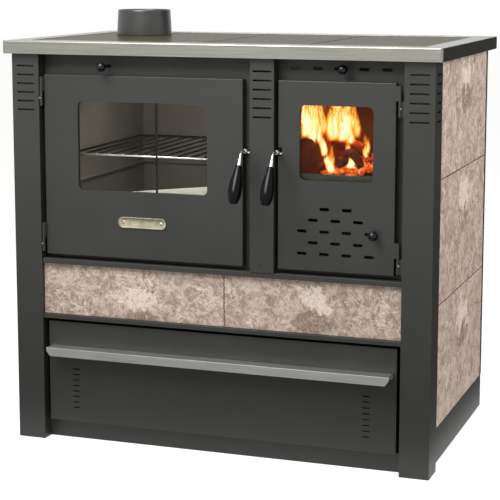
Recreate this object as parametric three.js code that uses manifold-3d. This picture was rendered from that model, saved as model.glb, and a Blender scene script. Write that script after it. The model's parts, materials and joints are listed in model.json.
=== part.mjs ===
// A wood cookstove: tiled steel carcass, oven door on the left, firebox door on the right,
// cast hob in a stainless surround, and a storage drawer below.
// Millimetres. X to the right, Y to the rear, Z up, seen from the front.
// The carcass is drawn with X = 0 in the middle and Y = 0 on the front faces of the posts.
import * as THREE from "three";
import { mergeVertices } from "three/addons/utils/BufferGeometryUtils.js";
import Module from "manifold-3d";

const wasm = await Module();
wasm.setup();

// ---- Driving dimensions ----------------------------------------------------------------------

// Whole stove
const bodyDepth = 520; // front faces of the posts to the back sheet
const hobHeight = 850; // top of the stainless surround
const seat = 0.3; // gap between two pieces that rest on each other
const barrelSides = 16; // facets of hinge knuckles and ferrules
const wireSides = 8; // facets of the oven rack's cross wires
const rackRodSides = 6;
const sheet = 2; // gauge of the painted sheet steel
const floorSheet = 3; // gauge of the deck and the firebox casing

// Stainless surround and hob
const frameThickness = 27; // height of its apron
const frameGauge = 3;
const frameOverhangSide = 16;
const frameOverhangFront = 12;
const frameOverhangBack = 16;
const frameRim = 44; // flat rim between its edge and the hob
const hobStep = 1; // hob surface below the rim
const hobPlateThickness = 8;
const hobJointGap = 0.8;
const hobJointLeftInset = 118; // left joint line to the left of the centre post
const hobJointRightInset = 56; // right joint line to the right of the centre post
const bearerWidth = 17; // ledge under the hob's edges
const crossBarWidth = 24;

// Flue collar
const flueFromLeft = 146.5; // flue axis from the carcass's left side
const flueFromBack = 161; // flue axis from the carcass's back
const flueBaseRadius = 61.5;
const flueTopRadius = 59;
const flueBore = 55; // inner radius
const flueHeight = 57;
const flueLipDepth = 7; // spigot lip down into the plate
const flueLipWall = 3;
const flueChamfer = 2; // at the rim
const flueSides = 32;

// Posts
const postWidth = 61;
const centrePostWidth = 50;
const ventCount = 6;
const ventPitch = 18.2;
const ventHeight = 3.6;
const ventLength = 38.5;
const ventTop = 25.4; // first vent below the surround

// Levels of the front, upwards
const plinthHeight = 41;
const plinthInset = 29; // plinth face behind the posts
const plinthFlange = 52; // depth of the flange under the bay floor
const bayFloorDrop = 1; // bay floor below the plinth's top
const drawerBottomGap = 1;
const drawerHeight = 215.5;
const drawerTopGap = 7;
const railHeight = 9.5;
const tileBandHeight = 109;
const ledgeHeight = 10.5;
const doorBottomGap = 8;
const headerHeight = 42.5; // door's top edge to the surround
const faceInset = 10; // door and drawer faces behind the posts
const railInset = 2; // rail faces behind the posts
const tileInset = 10; // tile faces behind the posts

// Tiles
const tileThickness = 8;
const tileJoint = 0.8;
const frontTileJointInset = 59; // joint to the left of the centre post
const sideTileCount = 3;
const sideTopGap = 9.9; // side tiles' top below the surround's top
const sideTileBottom = 87;
const sideTileInset = 1.7; // side tile faces inside the posts' outer faces
const sidePanelGauge = 4;
const sidePanelBottom = 14; // above the floor
const rearPostWidth = 26;
const rearPostGauge = 3;

// Doors
const doorDepth = 16; // depth of the folded door skin
const doorFrameInset = 12; // inner frame inside the door's edge
const glassThickness = 4;
const glassMargin = 12; // glass beyond the window on each side
const gasketWidth = 7;
const gasketDepth = 3.4;
const gasketInset = 3; // gasket inside the inner frame's edge
const mouthInset = 23; // mouth of the firebox inside the door's edge
const windowRadius = 11;
const frameProud = 1; // inner frame behind the folded skin
const ovenDoorWidth = 439.5;
const ovenDoorHingeGap = 7; // between the left post and the door
const ovenWindowWidth = 286;
const ovenWindowBottom = 141; // above the door's bottom edge
const ovenWindowDrop = 54; // below the door's top edge
const glassStayWidth = 3.6;
const glassStayOffset = 30.5; // stay to the right of the window's middle
const fireDoorWidth = 240;
const fireDoorHingeGap = 17.8; // between the door and the right post
const fireWindowWidth = 150;
const fireWindowBottom = 183;
const fireWindowDrop = 48;

// Hinges
const hingeForward = 6; // hinge axis in front of the door's face
const knuckleLength = 60;
const knuckleSplit = 0.6;
const hingeInsetTop = 5;
const hingeInsetBottom = 7;
const pinRadius = 1.5;
const pinInset = 1; // pin's ends inside the knuckle's ends
const hingeTabThickness = 2.4;

// Air slots of the firebox door and its header
const slotLength = 20.6;
const slotHeight = 6.6;
const slotPitchX = 46.1;
const slotPitchZ = 22.6;
const slotRows = [4, 3, 4, 3, 2]; // slots in each row, from the bottom row up
const knobRow = 2; // its last slot is longer, for the stem of the knob
const slotBottomRow = 35.5; // lowest row above the door's bottom edge
const longSlotLength = 28; // the slot that a knob's stem slides in
const headerSlots = 5;
const headerSlotPitch = 46.7;
const headerSlotTop = 19; // header slots below the surround
const headerSlotShift = 3; // header slots to the right of the door's middle
const slideGauge = 1.5;
const slideMargin = 8;
const slideTravel = 15;
const guideWidth = 3; // strip above and below each slide
const guideInset = 12; // header guides inside the door's edges

// Ball knobs and the damper
const knobRadius = 9.8;
const knobStemRadius = 2.5;
const knobNeck = 2; // collar behind a knob, beyond the ball and beyond the stem
const doorKnobPlay = 4; // stem to the end of its slot
const headerKnobPlay = 2;
const doorKnobReach = 14; // knob centre in front of the door's face
const headerKnobReach = 24; // knob centre in front of the header
const damperKnobReach = 41;
const damperInset = 147; // damper to the right of the left post
const damperDrop = 24; // damper rod below the surround
const damperRodRadius = 3;
const damperPlateLength = 102;
const damperPlateDrop = 34; // plate below its rod
const damperPlateRise = 16; // plate above its rod
const damperPlateGauge = 2;
const damperPlateFront = 250; // Y of the plate's front edge
const damperWindow = 80; // length of the window that the plate covers
const damperWindowDrop = 25;
const damperWindowRise = 11;
const bafflePlateLap = 3; // damper plate's front edge before the baffle

// Door handles
const ovenPivotOut = 11; // oven pivot beyond the door's free edge
const firePivotIn = 3.8; // firebox pivot inside the door's free edge
const pivotDrop = 141.5; // pivot below the door's top edge
const ballRadius = 5.4;
const ballReach = 17; // ball centre in front of the door's face
const shaftRadius = 3.5;
const armRadius = 2.7;
const armBow = 1.5; // arm rises by this on its way out
const camSetback = 5; // latch cam behind the door's face
const camThickness = 4;
const lugThickness = 3.4;
const lugHalf = 10; // half the height of the bearing lug
const lugRoot = 3; // lug lies this far on the inner frame
const camClearance = 1.6; // around the latch cam in the door skin
const gripLean = 26.6; // degrees from upright, outwards at the foot
const gripTopReach = 53; // grip's top in front of the door's face
const gripTopDrop = 25.5; // grip's top below the pivot
const gripLength = 80;
const gripRadius = 13;
const gripFootRadius = 7.6;
const gripNeckRadius = 6.4;
const lugWall = 2.4; // metal of the bearing lug beyond the handle's shaft
const ovenLugClearance = 1.3; // lug to the centre post
const fireLugClearance = 2.8;
const ferruleLength = 17;
const ferruleRadius = 5;
const tangLength = 30;

// Badge
const badgeWidth = 106;
const badgeHeight = 23;
const badgeThickness = 2;
const badgeBottom = 65.5; // above the oven door's bottom edge

// Storage drawer
const drawerSideGap = 9;
const drawerDepth = 16; // depth of the folded drawer front
const trayBackGap = 51.7; // tray's end to the back sheet
const trayHeight = 150;
const traySideInset = 6;
const runnerHeight = 3.7;
const runnerWidth = 26;
const runnerGuideHeight = 20;
const drawerVentCount = 8;
const drawerVentPitch = 12;
const drawerVentLength = 14.3;
const drawerVentHeight = 2.6;
const drawerVentInset = 62; // vent column inside the drawer front's edge
const drawerVentBottom = 30;
const pullInset = 8; // pull's ends inside the drawer front's ends
const pullReach = 32;
const pullHeight = 164.5; // top of the pull above the drawer's bottom edge
const pullDrop = 18;
const pullGauge = 2;
const pullFoot = 10;
const pullEdge = 7.2; // straight part of the pull's ends above the chamfer
const pullChamfer = 8;

// Oven
const cavityLeft = 37; // cavity's left wall inside the oven door's left edge
const cavityRight = 37.5; // cavity's right wall inside the oven door's right edge
const cavityRise = 48.5; // cavity's floor above the doors' bottom edges
const smokeGap = 66; // oven's roof to the hob bearer
const cavityDepth = 410;
const rackRise = 159.7; // ledge that the rack lies on, above the cavity's floor
const lowerLedgeRise = 103;
const ledgeWidth = 9;
const ledgeThickness = 4;
const rackWire = 2.5;
const rackRodRadius = 2;
const rackRodLift = 0.4; // rods above the middle of the cross wires
const rackFrontInset = 16; // front wire behind the oven's mouth
const rackBackInset = 6;
const ovenLedgeInset = 12; // ledges behind the oven's mouth
const saddleWidth = 20; // the two saddles that the oven stands on
const saddleInset = 60; // saddles inside the oven's front and back
const rackRods = 13;
const rackGap = 1.5; // between the rack and the side walls

// Firebox
const casingSideGap = 5; // casing inside the firebox bay on each side
const casingDepth = 392;
const brickThickness = 28;
const brickDrop = 62.4; // bricks' top below the casing's top
const brickSetback = 20; // bricks behind the log retainer
const hearthRise = 134.5; // underside of the hearth plate above the doors' bottom edges
const hearthThickness = 12;
const grateThickness = 10;
const grateBar = 9;
const grateSlot = 9;
const hearthHoleDepth = 214;
const hearthHoleSetback = 56; // hole behind the casing's front
const grateSideGap = 10.2; // grate to the side bricks
const logRetainerHeight = 37;
const logRetainerThickness = 4;
const hearthSetback = 1; // hearth behind the casing's front
const hearthLedge = 10;
const hearthLedgeThickness = 8;
const grateLap = 6; // grate on the hearth around the hole
const grateRim = 10; // solid ends of the grate
const ashPanSideGap = 28.5; // pan to the casing's side walls
const ashPanHeight = 74;
const ashPanLength = 330;
const ashPanSetback = 6;
const ashRailLap = 8; // rails under the pan
const ashRailThickness = 6;
const ashRailRise = 22.5; // top of the rails that the ash pan stands on, above the doors' edges
const smokeWindowHeight = 46;
const smokeWindowDrop = 6; // below the casing's top
const smokeWindowInset = 40; // inside the casing's front and back
const casingSetback = 3; // casing behind the front plate

// ---- Derived levels and planes ---------------------------------------------------------------

// Levels
const apronBottom = hobHeight - frameThickness;
const postTop = apronBottom - seat;
const drawerBottom = plinthHeight + drawerBottomGap;
const railBottom = drawerBottom + drawerHeight + drawerTopGap;
const railTop = railBottom + railHeight;
const ledgeBottom = railTop + tileBandHeight;
const ledgeTop = ledgeBottom + ledgeHeight;
const doorBottom = ledgeTop + doorBottomGap;
const doorTop = apronBottom - headerHeight;
const doorHeight = doorTop - doorBottom;
const pivotHeight = doorHeight - pivotDrop;
const deckTop = ledgeTop - seat;
const deckBottom = deckTop - floorSheet;
const bayFloorTop = plinthHeight - bayFloorDrop;
const hobTop = hobHeight - hobStep;
const bearerTop = hobTop - hobPlateThickness - seat;
const bearerBottom = apronBottom;
const innerTop = bearerBottom - seat; // top of what stands under the bearer
const damperZ = apronBottom - damperDrop;
const damperBottom = damperZ - damperPlateDrop;
const cavityBottom = doorBottom + cavityRise;
const cavityHeight = apronBottom - smokeGap - sheet - cavityBottom;
const rackLevel = cavityBottom + rackRise;
const lowerLedgeLevel = cavityBottom + lowerLedgeRise;
const hearthLevel = doorBottom + hearthRise;
const ashRailLevel = doorBottom + ashRailRise;
const sideTop = hobHeight - sideTopGap;
const sideTileHeight = (sideTop - sideTileBottom + tileJoint) / sideTileCount - tileJoint;

// Across the front, from the left
const lugReach = shaftRadius + seat + lugWall;
const ovenDoorHandleGap = ovenPivotOut + lugReach + ovenLugClearance;
const fireDoorHandleGap = lugReach - firePivotIn + fireLugClearance;
const ovenBayWidth = ovenDoorHingeGap + ovenDoorWidth + ovenDoorHandleGap;
const fireBayWidth = fireDoorHandleGap + fireDoorWidth + fireDoorHingeGap;
const bodyWidth = postWidth + ovenBayWidth + centrePostWidth + fireBayWidth + postWidth;
const halfWidth = bodyWidth / 2;
const bayLeft = -halfWidth + postWidth;
const bayRight = halfWidth - postWidth;
const centreLeft = bayLeft + ovenBayWidth;
const centreRight = centreLeft + centrePostWidth;
const ovenDoorLeft = bayLeft + ovenDoorHingeGap;
const fireDoorLeft = centreRight + fireDoorHandleGap;
const fireDoorMiddle = fireDoorLeft + fireDoorWidth / 2;
const knuckleRadius = Math.min(ovenDoorHingeGap, fireDoorHingeGap) / 2 - seat;
const cavityX = ovenDoorLeft + cavityLeft;
const cavityWidth = ovenDoorWidth - cavityLeft - cavityRight;
const casingX = centreRight + casingSideGap;
const casingWidth = fireBayWidth - 2 * casingSideGap;
const hobJoints = [centreLeft - hobJointLeftInset, centreRight + hobJointRightInset];
const frontTileJointX = centreLeft - frontTileJointInset;
const flueX = -halfWidth + flueFromLeft;
const damperX = bayLeft + damperInset;
const frameInnerLeft = -halfWidth - frameOverhangSide + frameRim;
const sideFace = halfWidth - sideTileInset;
const sidePanelOuter = sideFace - tileThickness - seat;
const sidePanelInner = sidePanelOuter - sidePanelGauge;

// From the front to the back
const gasketBack = doorDepth + frameProud + seat + gasketDepth; // behind the door's face
const plateFront = faceInset + gasketBack + seat;
const plateBack = plateFront + sheet;
const casingFront = plateBack + casingSetback;
const innerFront = postWidth + seat; // just behind the front posts
const innerBack = bodyDepth - sheet - seat; // just before the back sheet
const trayFront = drawerDepth + seat; // behind the drawer's face
const trayLength = bodyDepth - sheet - trayBackGap - trayFront - faceInset;
const flueY = bodyDepth - flueFromBack;
const frameInnerFront = -frameOverhangFront + frameRim;
const frameInnerBack = bodyDepth + frameOverhangBack - frameRim;

// ---- Materials -------------------------------------------------------------------------------

const finish = (color, roughness, metalness) =>
  new THREE.MeshStandardMaterial({ color, roughness, metalness });
const paint = finish(0x474745, 0.55, 0.3);
const stainless = finish(0xb0aea8, 0.35, 0.9);
const castIron = finish(0x5d5a52, 0.45, 0.6);
const blackEnamel = finish(0x3c3c3b, 0.4, 0.2);
const stone = finish(0xb5a294, 0.5, 0);
const clearGlass = finish(0x55585a, 0.08, 0);
const chrome = finish(0xd0d0d0, 0.1, 1);
const bakelite = finish(0x161616, 0.25, 0);
const aluminium = finish(0xa9aca8, 0.35, 0.9);
const ovenEnamel = finish(0x4b4640, 0.4, 0.1);
const firebrick = finish(0x9a7d62, 0.9, 0);
const rope = finish(0x8d8a84, 0.95, 0);
const nickel = finish(0xc9c2ad, 0.3, 0.8);
const rawSteel = finish(0x6f6d69, 0.5, 0.7);

// ---- Solids ----------------------------------------------------------------------------------

// A closed three.js geometry as a solid that can be joined and cut.
function solid(geometry) {
  const bare = geometry.clone();
  bare.deleteAttribute("normal");
  bare.deleteAttribute("uv");
  const merged = mergeVertices(bare, 1e-4);
  const vertProperties = new Float32Array(merged.attributes.position.array);
  const triVerts = new Uint32Array(merged.index.array);
  return new wasm.Manifold(new wasm.Mesh({ numProp: 3, vertProperties, triVerts }));
}

const join = (first, ...rest) => rest.flat().reduce((whole, piece) => whole.add(piece), first);
const cut = (first, ...rest) => rest.flat().reduce((whole, piece) => whole.subtract(piece), first);
const repeat = (count, make) => Array.from({ length: count }, (_, index) => make(index));
const between = (a, b) => [Math.min(a, b), Math.max(a, b)];
const around = (middle, length) => [middle - length / 2, middle + length / 2];
const grow = (range, by) => [range[0] - by, range[1] + by];

// A box between the given low and high X, Y and Z.
function block(x, y, z) {
  const geometry = new THREE.BoxGeometry(x[1] - x[0], y[1] - y[0], z[1] - z[0]);
  geometry.translate((x[0] + x[1]) / 2, (y[0] + y[1]) / 2, (z[0] + z[1]) / 2);
  return solid(geometry);
}

// A round rod along an axis. The centre holds the two other coordinates in order.
function rod(axis, radius, from, to, centre, sides = 12) {
  const geometry = new THREE.CylinderGeometry(radius, radius, to - from, sides);
  geometry.translate(0, (from + to) / 2, 0);
  if (axis === "x") geometry.rotateZ(-Math.PI / 2).translate(0, centre[0], centre[1]);
  if (axis === "y") geometry.translate(centre[0], 0, centre[1]);
  if (axis === "z") geometry.rotateX(Math.PI / 2).translate(centre[0], centre[1], 0);
  return solid(geometry);
}

function ball(radius, x, y, z) {
  return solid(new THREE.SphereGeometry(radius, 14, 8).translate(x, y, z));
}

const flat = 0.01; // straight rest between two round corners

// A slab that faces the front, with rounded corners.
function roundedSlab(x, y, z, radius, steps = 2) {
  const shape = new THREE.Shape();
  shape.moveTo(x[0] + radius, z[0]);
  shape.lineTo(x[1] - radius, z[0]);
  shape.absarc(x[1] - radius, z[0] + radius, radius, -Math.PI / 2, 0);
  shape.lineTo(x[1], z[1] - radius);
  shape.absarc(x[1] - radius, z[1] - radius, radius, 0, Math.PI / 2);
  shape.lineTo(x[0] + radius, z[1]);
  shape.absarc(x[0] + radius, z[1] - radius, radius, Math.PI / 2, Math.PI);
  shape.lineTo(x[0], z[0] + radius);
  shape.absarc(x[0] + radius, z[0] + radius, radius, Math.PI, 1.5 * Math.PI);
  const depth = y[1] - y[0];
  const options = { depth, bevelEnabled: false, curveSegments: steps };
  const geometry = new THREE.ExtrudeGeometry(shape, options);
  geometry.rotateX(Math.PI / 2).translate(0, y[1], 0);
  return solid(geometry);
}

// A slot with round ends through a plate that faces the front.
function slot(centreX, centreZ, length, height, y) {
  const x = around(centreX, length);
  const z = around(centreZ, height);
  return roundedSlab(x, y, z, height / 2 - flat, 1);
}

// A turned piece about Y, from points of radius and height.
function turned(points, sides) {
  const profile = points.map(([radius, height]) => new THREE.Vector2(radius, height));
  return new THREE.LatheGeometry(profile, sides);
}

// Adds a solid to a group as a named mesh with flat faces.
function add(group, name, shape, material) {
  const { vertProperties, triVerts, numProp } = shape.getMesh();
  const geometry = new THREE.BufferGeometry();
  const buffer = new THREE.InterleavedBuffer(vertProperties, numProp);
  geometry.setAttribute("position", new THREE.InterleavedBufferAttribute(buffer, 3, 0));
  geometry.setIndex(new THREE.BufferAttribute(triVerts, 1));
  const flat = geometry.toNonIndexed();
  flat.computeVertexNormals();
  const mesh = new THREE.Mesh(flat, material);
  mesh.name = name;
  group.add(mesh);
  return mesh;
}

// ---- Surround, hob and flue ------------------------------------------------------------------

function addHob(group) {
  const outerX = [-halfWidth - frameOverhangSide, halfWidth + frameOverhangSide];
  const outerY = [-frameOverhangFront, bodyDepth + frameOverhangBack];
  const innerX = [frameInnerLeft, -frameInnerLeft];
  const innerY = [frameInnerFront, frameInnerBack];
  const surround = cut(
    block(outerX, outerY, [apronBottom, hobHeight]),
    cut(
      block(grow(outerX, -frameGauge), grow(outerY, -frameGauge), [0, hobHeight - frameGauge]),
      block(grow(innerX, frameGauge), grow(innerY, frameGauge), [bearerTop + seat, hobHeight]),
    ),
    block(innerX, innerY, [0, hobHeight + 1]),
  );
  add(group, "top_frame", surround, stainless);

  const plateX = grow(innerX, -seat);
  const plateY = grow(innerY, -seat);
  const bearerX = [-sidePanelInner + seat, sidePanelInner - seat];
  const bearerY = [frameInnerFront - bearerWidth / 2, frameInnerBack + bearerWidth];
  const openX = grow(innerX, -bearerWidth);
  const openY = grow(innerY, -bearerWidth);
  const bearerZ = [bearerBottom, bearerTop];
  const barEdges = [openX[0], ...hobJoints.flatMap((x) => around(x, crossBarWidth)), openX[1]];
  const openings = repeat(hobJoints.length + 1, (i) =>
    block([barEdges[2 * i], barEdges[2 * i + 1]], openY, grow(bearerZ, 1)));
  add(group, "hob_bearer", cut(block(bearerX, bearerY, bearerZ), openings), rawSteel);

  const edges = [plateX[0], ...hobJoints.flatMap((x) => around(x, hobJointGap)), plateX[1]];
  const plateZ = [hobTop - hobPlateThickness, hobTop];
  const holeRadius = flueBore + flueLipWall + 2 * seat;
  const flueHole = rod("z", holeRadius, plateZ[0] - 1, plateZ[1] + 1, [flueX, flueY], flueSides);
  ["left", "centre", "right"].forEach((side, i) => {
    const plate = block([edges[2 * i], edges[2 * i + 1]], plateY, plateZ);
    add(group, "hob_plate_" + side, side === "left" ? cut(plate, flueHole) : plate, castIron);
  });

  const collar = turned([
    [flueBore, -flueLipDepth],
    [flueBore + flueLipWall, -flueLipDepth],
    [flueBore + flueLipWall, seat],
    [flueBaseRadius, seat],
    [flueTopRadius, flueHeight - flueChamfer],
    [flueTopRadius - flueChamfer / 2, flueHeight],
    [flueBore + flueChamfer / 2, flueHeight],
    [flueBore, flueHeight - flueChamfer],
    [flueBore, -flueLipDepth],
  ], flueSides);
  collar.rotateX(Math.PI / 2).translate(flueX, flueY, hobTop);
  add(group, "flue_collar", solid(collar), blackEnamel);
}

// ---- Posts, side and back ----------------------------------------------------------------------

// Vents in a row down a post: front vents run along X, side vents along Y.
function frontVents(centreX, y) {
  return repeat(ventCount, (i) => {
    const z = apronBottom - ventTop - i * ventPitch;
    return block(around(centreX, ventLength), y, around(z, ventHeight));
  });
}

function sideVents(x) {
  return repeat(ventCount, (i) => {
    const z = apronBottom - ventTop - i * ventPitch;
    return block(x, around(postWidth / 2, ventLength), around(z, ventHeight));
  });
}

function addPosts(group) {
  [-1, 1].forEach((side) => {
    const inner = side * (halfWidth - postWidth);
    const outer = side * halfWidth;
    const x = between(inner, outer);
    const bore = block(grow(x, -sheet), [sheet, postWidth - sheet], [-1, postTop + 1]);
    const wall = grow(between(outer, outer - side * sheet), 1);
    const post = cut(
      block(x, [0, postWidth], [0, postTop]),
      bore,
      frontVents((x[0] + x[1]) / 2, [-1, sheet + 1]),
      sideVents(wall),
    );
    add(group, side < 0 ? "post_front_left" : "post_front_right", post, paint);
  });

  const z = [ledgeTop + seat, postTop];
  const centre = cut(
    block([centreLeft, centreRight], [0, plateFront - seat], z),
    block([centreLeft + sheet, centreRight - sheet], [sheet, plateFront + 1], grow(z, 1)),
    frontVents((centreLeft + centreRight) / 2, [-1, sheet + 1]),
  );
  add(group, "post_centre", centre, paint);
}

function addShell(group) {
  [-1, 1].forEach((side) => {
    const name = side < 0 ? "left" : "right";
    const across = (from, to) => (side < 0 ? [-to, -from] : [from, to]);
    const y = [innerFront, innerBack];
    const panel = join(
      block(across(sidePanelInner, sidePanelOuter), y, [sidePanelBottom, sideTop]),
      block(across(sidePanelInner, sideFace), y, [sidePanelBottom, sideTileBottom - seat]),
    );
    add(group, "side_panel_" + name, panel, paint);
    repeat(sideTileCount, (i) => {
      const bottom = sideTileBottom + i * (sideTileHeight + tileJoint);
      const tileX = across(sideFace - tileThickness, sideFace);
      const tile = block(tileX, y, [bottom, bottom + sideTileHeight]);
      add(group, "side_tile_" + name + "_" + (i + 1), tile, stone);
    });
  });

  // The two rear corner posts are welded to the back sheet.
  const cornerPost = (side) => {
    const outer = side * (sidePanelInner - seat);
    const inner = outer - side * rearPostWidth;
    const web = outer - side * rearPostGauge;
    const z = [0, innerTop];
    return join(
      block(between(inner, outer), [bodyDepth - sheet - rearPostGauge, bodyDepth - sheet / 2], z),
      block(between(web, outer), [bodyDepth - rearPostWidth, bodyDepth - sheet], z),
    );
  };
  const backY = [bodyDepth - sheet, bodyDepth];
  const sheetBody = block([-sideFace, sideFace], backY, [sidePanelBottom, sideTop]);
  add(group, "back_panel", join(sheetBody, cornerPost(-1), cornerPost(1)), paint);
}

// ---- Front rails, tiles, plinth, deck and floor ------------------------------------------------

// A channel that is open to the rear, between the two front posts.
function channel(y, z) {
  const x = [bayLeft + seat, bayRight - seat];
  return cut(block(x, y, z), block(grow(x, 1), [y[0] + sheet, y[1] + 1], grow(z, -sheet)));
}

function addFront(group) {
  const x = [bayLeft + seat, bayRight - seat];
  const tileBack = tileInset + tileThickness;
  add(group, "ledge_rail", channel([railInset, postWidth], [ledgeBottom, ledgeTop]), paint);
  const rail = join(
    channel([railInset, postWidth], [railBottom, railTop]),
    block(x, [tileBack + seat, tileBack + seat + sheet], [railTop - sheet, ledgeBottom - seat]),
  );
  add(group, "lower_rail", rail, paint);
  const tileZ = [railTop + seat, ledgeBottom - seat];
  const tileY = [tileInset, tileBack];
  add(group, "front_tile_left", block([x[0], frontTileJointX - tileJoint / 2], tileY, tileZ), stone);
  add(group, "front_tile_right", block([frontTileJointX + tileJoint / 2, x[1]], tileY, tileZ), stone);

  const flangeTop = bayFloorTop - floorSheet - seat;
  add(group, "plinth", join(
    block(x, [plinthInset, plinthInset + sheet], [0, plinthHeight]),
    block(x, [plinthInset, plinthInset + plinthFlange], [flangeTop - sheet, flangeTop]),
  ), paint);

  const deckX = [-sidePanelInner + seat, sidePanelInner - seat];
  const notchY = [bodyDepth - rearPostWidth - 1, bodyDepth];
  const notches = [-1, 1].map((side) => {
    const notchX = between(side * (deckX[1] - rearPostWidth - 1), side * (deckX[1] + 1));
    return block(notchX, notchY, [0, deckTop + 1]);
  });
  const saddle = (y) =>
    block([cavityX, cavityX + cavityWidth], y, [deckBottom, cavityBottom - sheet - seat]);
  const saddleY = [saddleInset, cavityDepth - saddleInset - saddleWidth].map((y) => plateBack + y);
  add(group, "mid_deck", join(
    cut(block(deckX, [innerFront, innerBack], [deckBottom, deckTop]), notches),
    saddleY.map((y) => saddle([y, y + saddleWidth])),
  ), paint);

  const trayHalf = bayRight - drawerSideGap - traySideInset;
  const runner = (side) => {
    const guide = side * (trayHalf + 2 * seat);
    const y = [innerFront, faceInset + trayFront + trayLength];
    const foot = bayFloorTop - floorSheet / 2;
    return join(
      block(between(guide, guide - side * runnerWidth), y, [foot, bayFloorTop + runnerHeight]),
      block(between(guide, guide + side * sheet), y, [foot, bayFloorTop + runnerGuideHeight]),
    );
  };
  const bayFloorZ = [bayFloorTop - floorSheet, bayFloorTop];
  const bayFloor = cut(block(deckX, [innerFront, innerBack], bayFloorZ), notches);
  add(group, "drawer_bay_floor", join(bayFloor, runner(-1), runner(1)), paint);
}

// ---- Recessed front plates ---------------------------------------------------------------------

const plateSeam = (centreLeft + centreRight) / 2;
const plateZ = [ledgeTop + seat, postTop];
const headerSlotZ = apronBottom - headerSlotTop;
const headerCentre = fireDoorMiddle + headerSlotShift;
const headerKnobX = headerCentre + longSlotLength / 2 - knobStemRadius - headerKnobPlay;
const headerSlideZ = grow(around(headerSlotZ, slotHeight), slideMargin);
const headerSlotX = (i) => headerCentre + (i - (headerSlots - 1) / 2) * headerSlotPitch;
const isMiddleSlot = (i) => i === (headerSlots - 1) / 2;

function addFrontPlates(group) {
  const plateY = [plateFront, plateBack];
  const through = grow(plateY, 1);
  const cavityZ = [cavityBottom, cavityBottom + cavityHeight];
  const mouth = block([cavityX, cavityX + cavityWidth], through, cavityZ);
  const damperHole = rod("y", damperRodRadius + 2 * seat, ...through, [damperX, damperZ], barrelSides);
  const ovenPlate = block([bayLeft + seat, plateSeam - seat / 2], plateY, plateZ);
  add(group, "oven_front_plate", cut(ovenPlate, mouth, damperHole), paint);

  const fireMouth = block(
    [fireDoorLeft + mouthInset, fireDoorLeft + fireDoorWidth - mouthInset],
    through,
    [doorBottom + mouthInset, doorTop - mouthInset],
  );
  // The middle slot of the header is longer, for the stem of the slide's knob.
  const slots = repeat(headerSlots, (i) =>
    slot(headerSlotX(i), headerSlotZ, isMiddleSlot(i) ? longSlotLength : slotLength, slotHeight, through));
  const guideX = [fireDoorLeft + guideInset, fireDoorLeft + fireDoorWidth - guideInset];
  const guideY = [plateBack - sheet / 2, plateBack + seat + slideGauge + seat];
  const guides = [
    block(guideX, guideY, [headerSlideZ[0] - seat - guideWidth, headerSlideZ[0] - seat]),
    block(guideX, guideY, [headerSlideZ[1] + seat, headerSlideZ[1] + seat + guideWidth]),
  ];
  const firePlate = join(block([plateSeam + seat / 2, bayRight - seat], plateY, plateZ), guides);
  add(group, "firebox_front_plate", cut(firePlate, fireMouth, slots), paint);
}

// Ball knob with its stem, towards the front.
function knob(x, z, ballY, stemEnd, stemRadius) {
  return join(
    ball(knobRadius, x, ballY, z),
    rod("y", stemRadius + knobNeck, ballY, ballY + knobRadius + knobNeck, [x, z]),
    rod("y", stemRadius, ballY, stemEnd, [x, z]),
  );
}

function addHeaderControls(group) {
  const half = ((headerSlots - 1) / 2) * headerSlotPitch + slotLength / 2 + slideMargin;
  const slideY = [plateBack + seat, plateBack + seat + slideGauge];
  const plate = block([headerCentre - half + slideTravel / 2, headerCentre + half], slideY, headerSlideZ);
  const holes = repeat(headerSlots, (i) => headerSlotX(i))
    .filter((x, i) => !isMiddleSlot(i))
    .map((x) => slot(x, headerSlotZ, slotLength, slotHeight, grow(slideY, 1)));
  const knobY = plateFront - headerKnobReach;
  const pull = knob(headerKnobX, headerSlotZ, knobY, slideY[1], knobStemRadius);
  add(group, "header_air_slider", join(cut(plate, holes), pull), blackEnamel);

  const damperPlate = block(
    around(damperX, damperPlateGauge),
    [damperPlateFront, damperPlateFront + damperPlateLength],
    [damperBottom, damperZ + damperPlateRise],
  );
  const damperKnobY = plateFront - damperKnobReach;
  const damperPull = knob(damperX, damperZ, damperKnobY, damperPlateFront + sheet, damperRodRadius);
  add(group, "damper_slide", join(damperPlate, damperPull), blackEnamel);
}

// ---- Oven --------------------------------------------------------------------------------------

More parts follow.
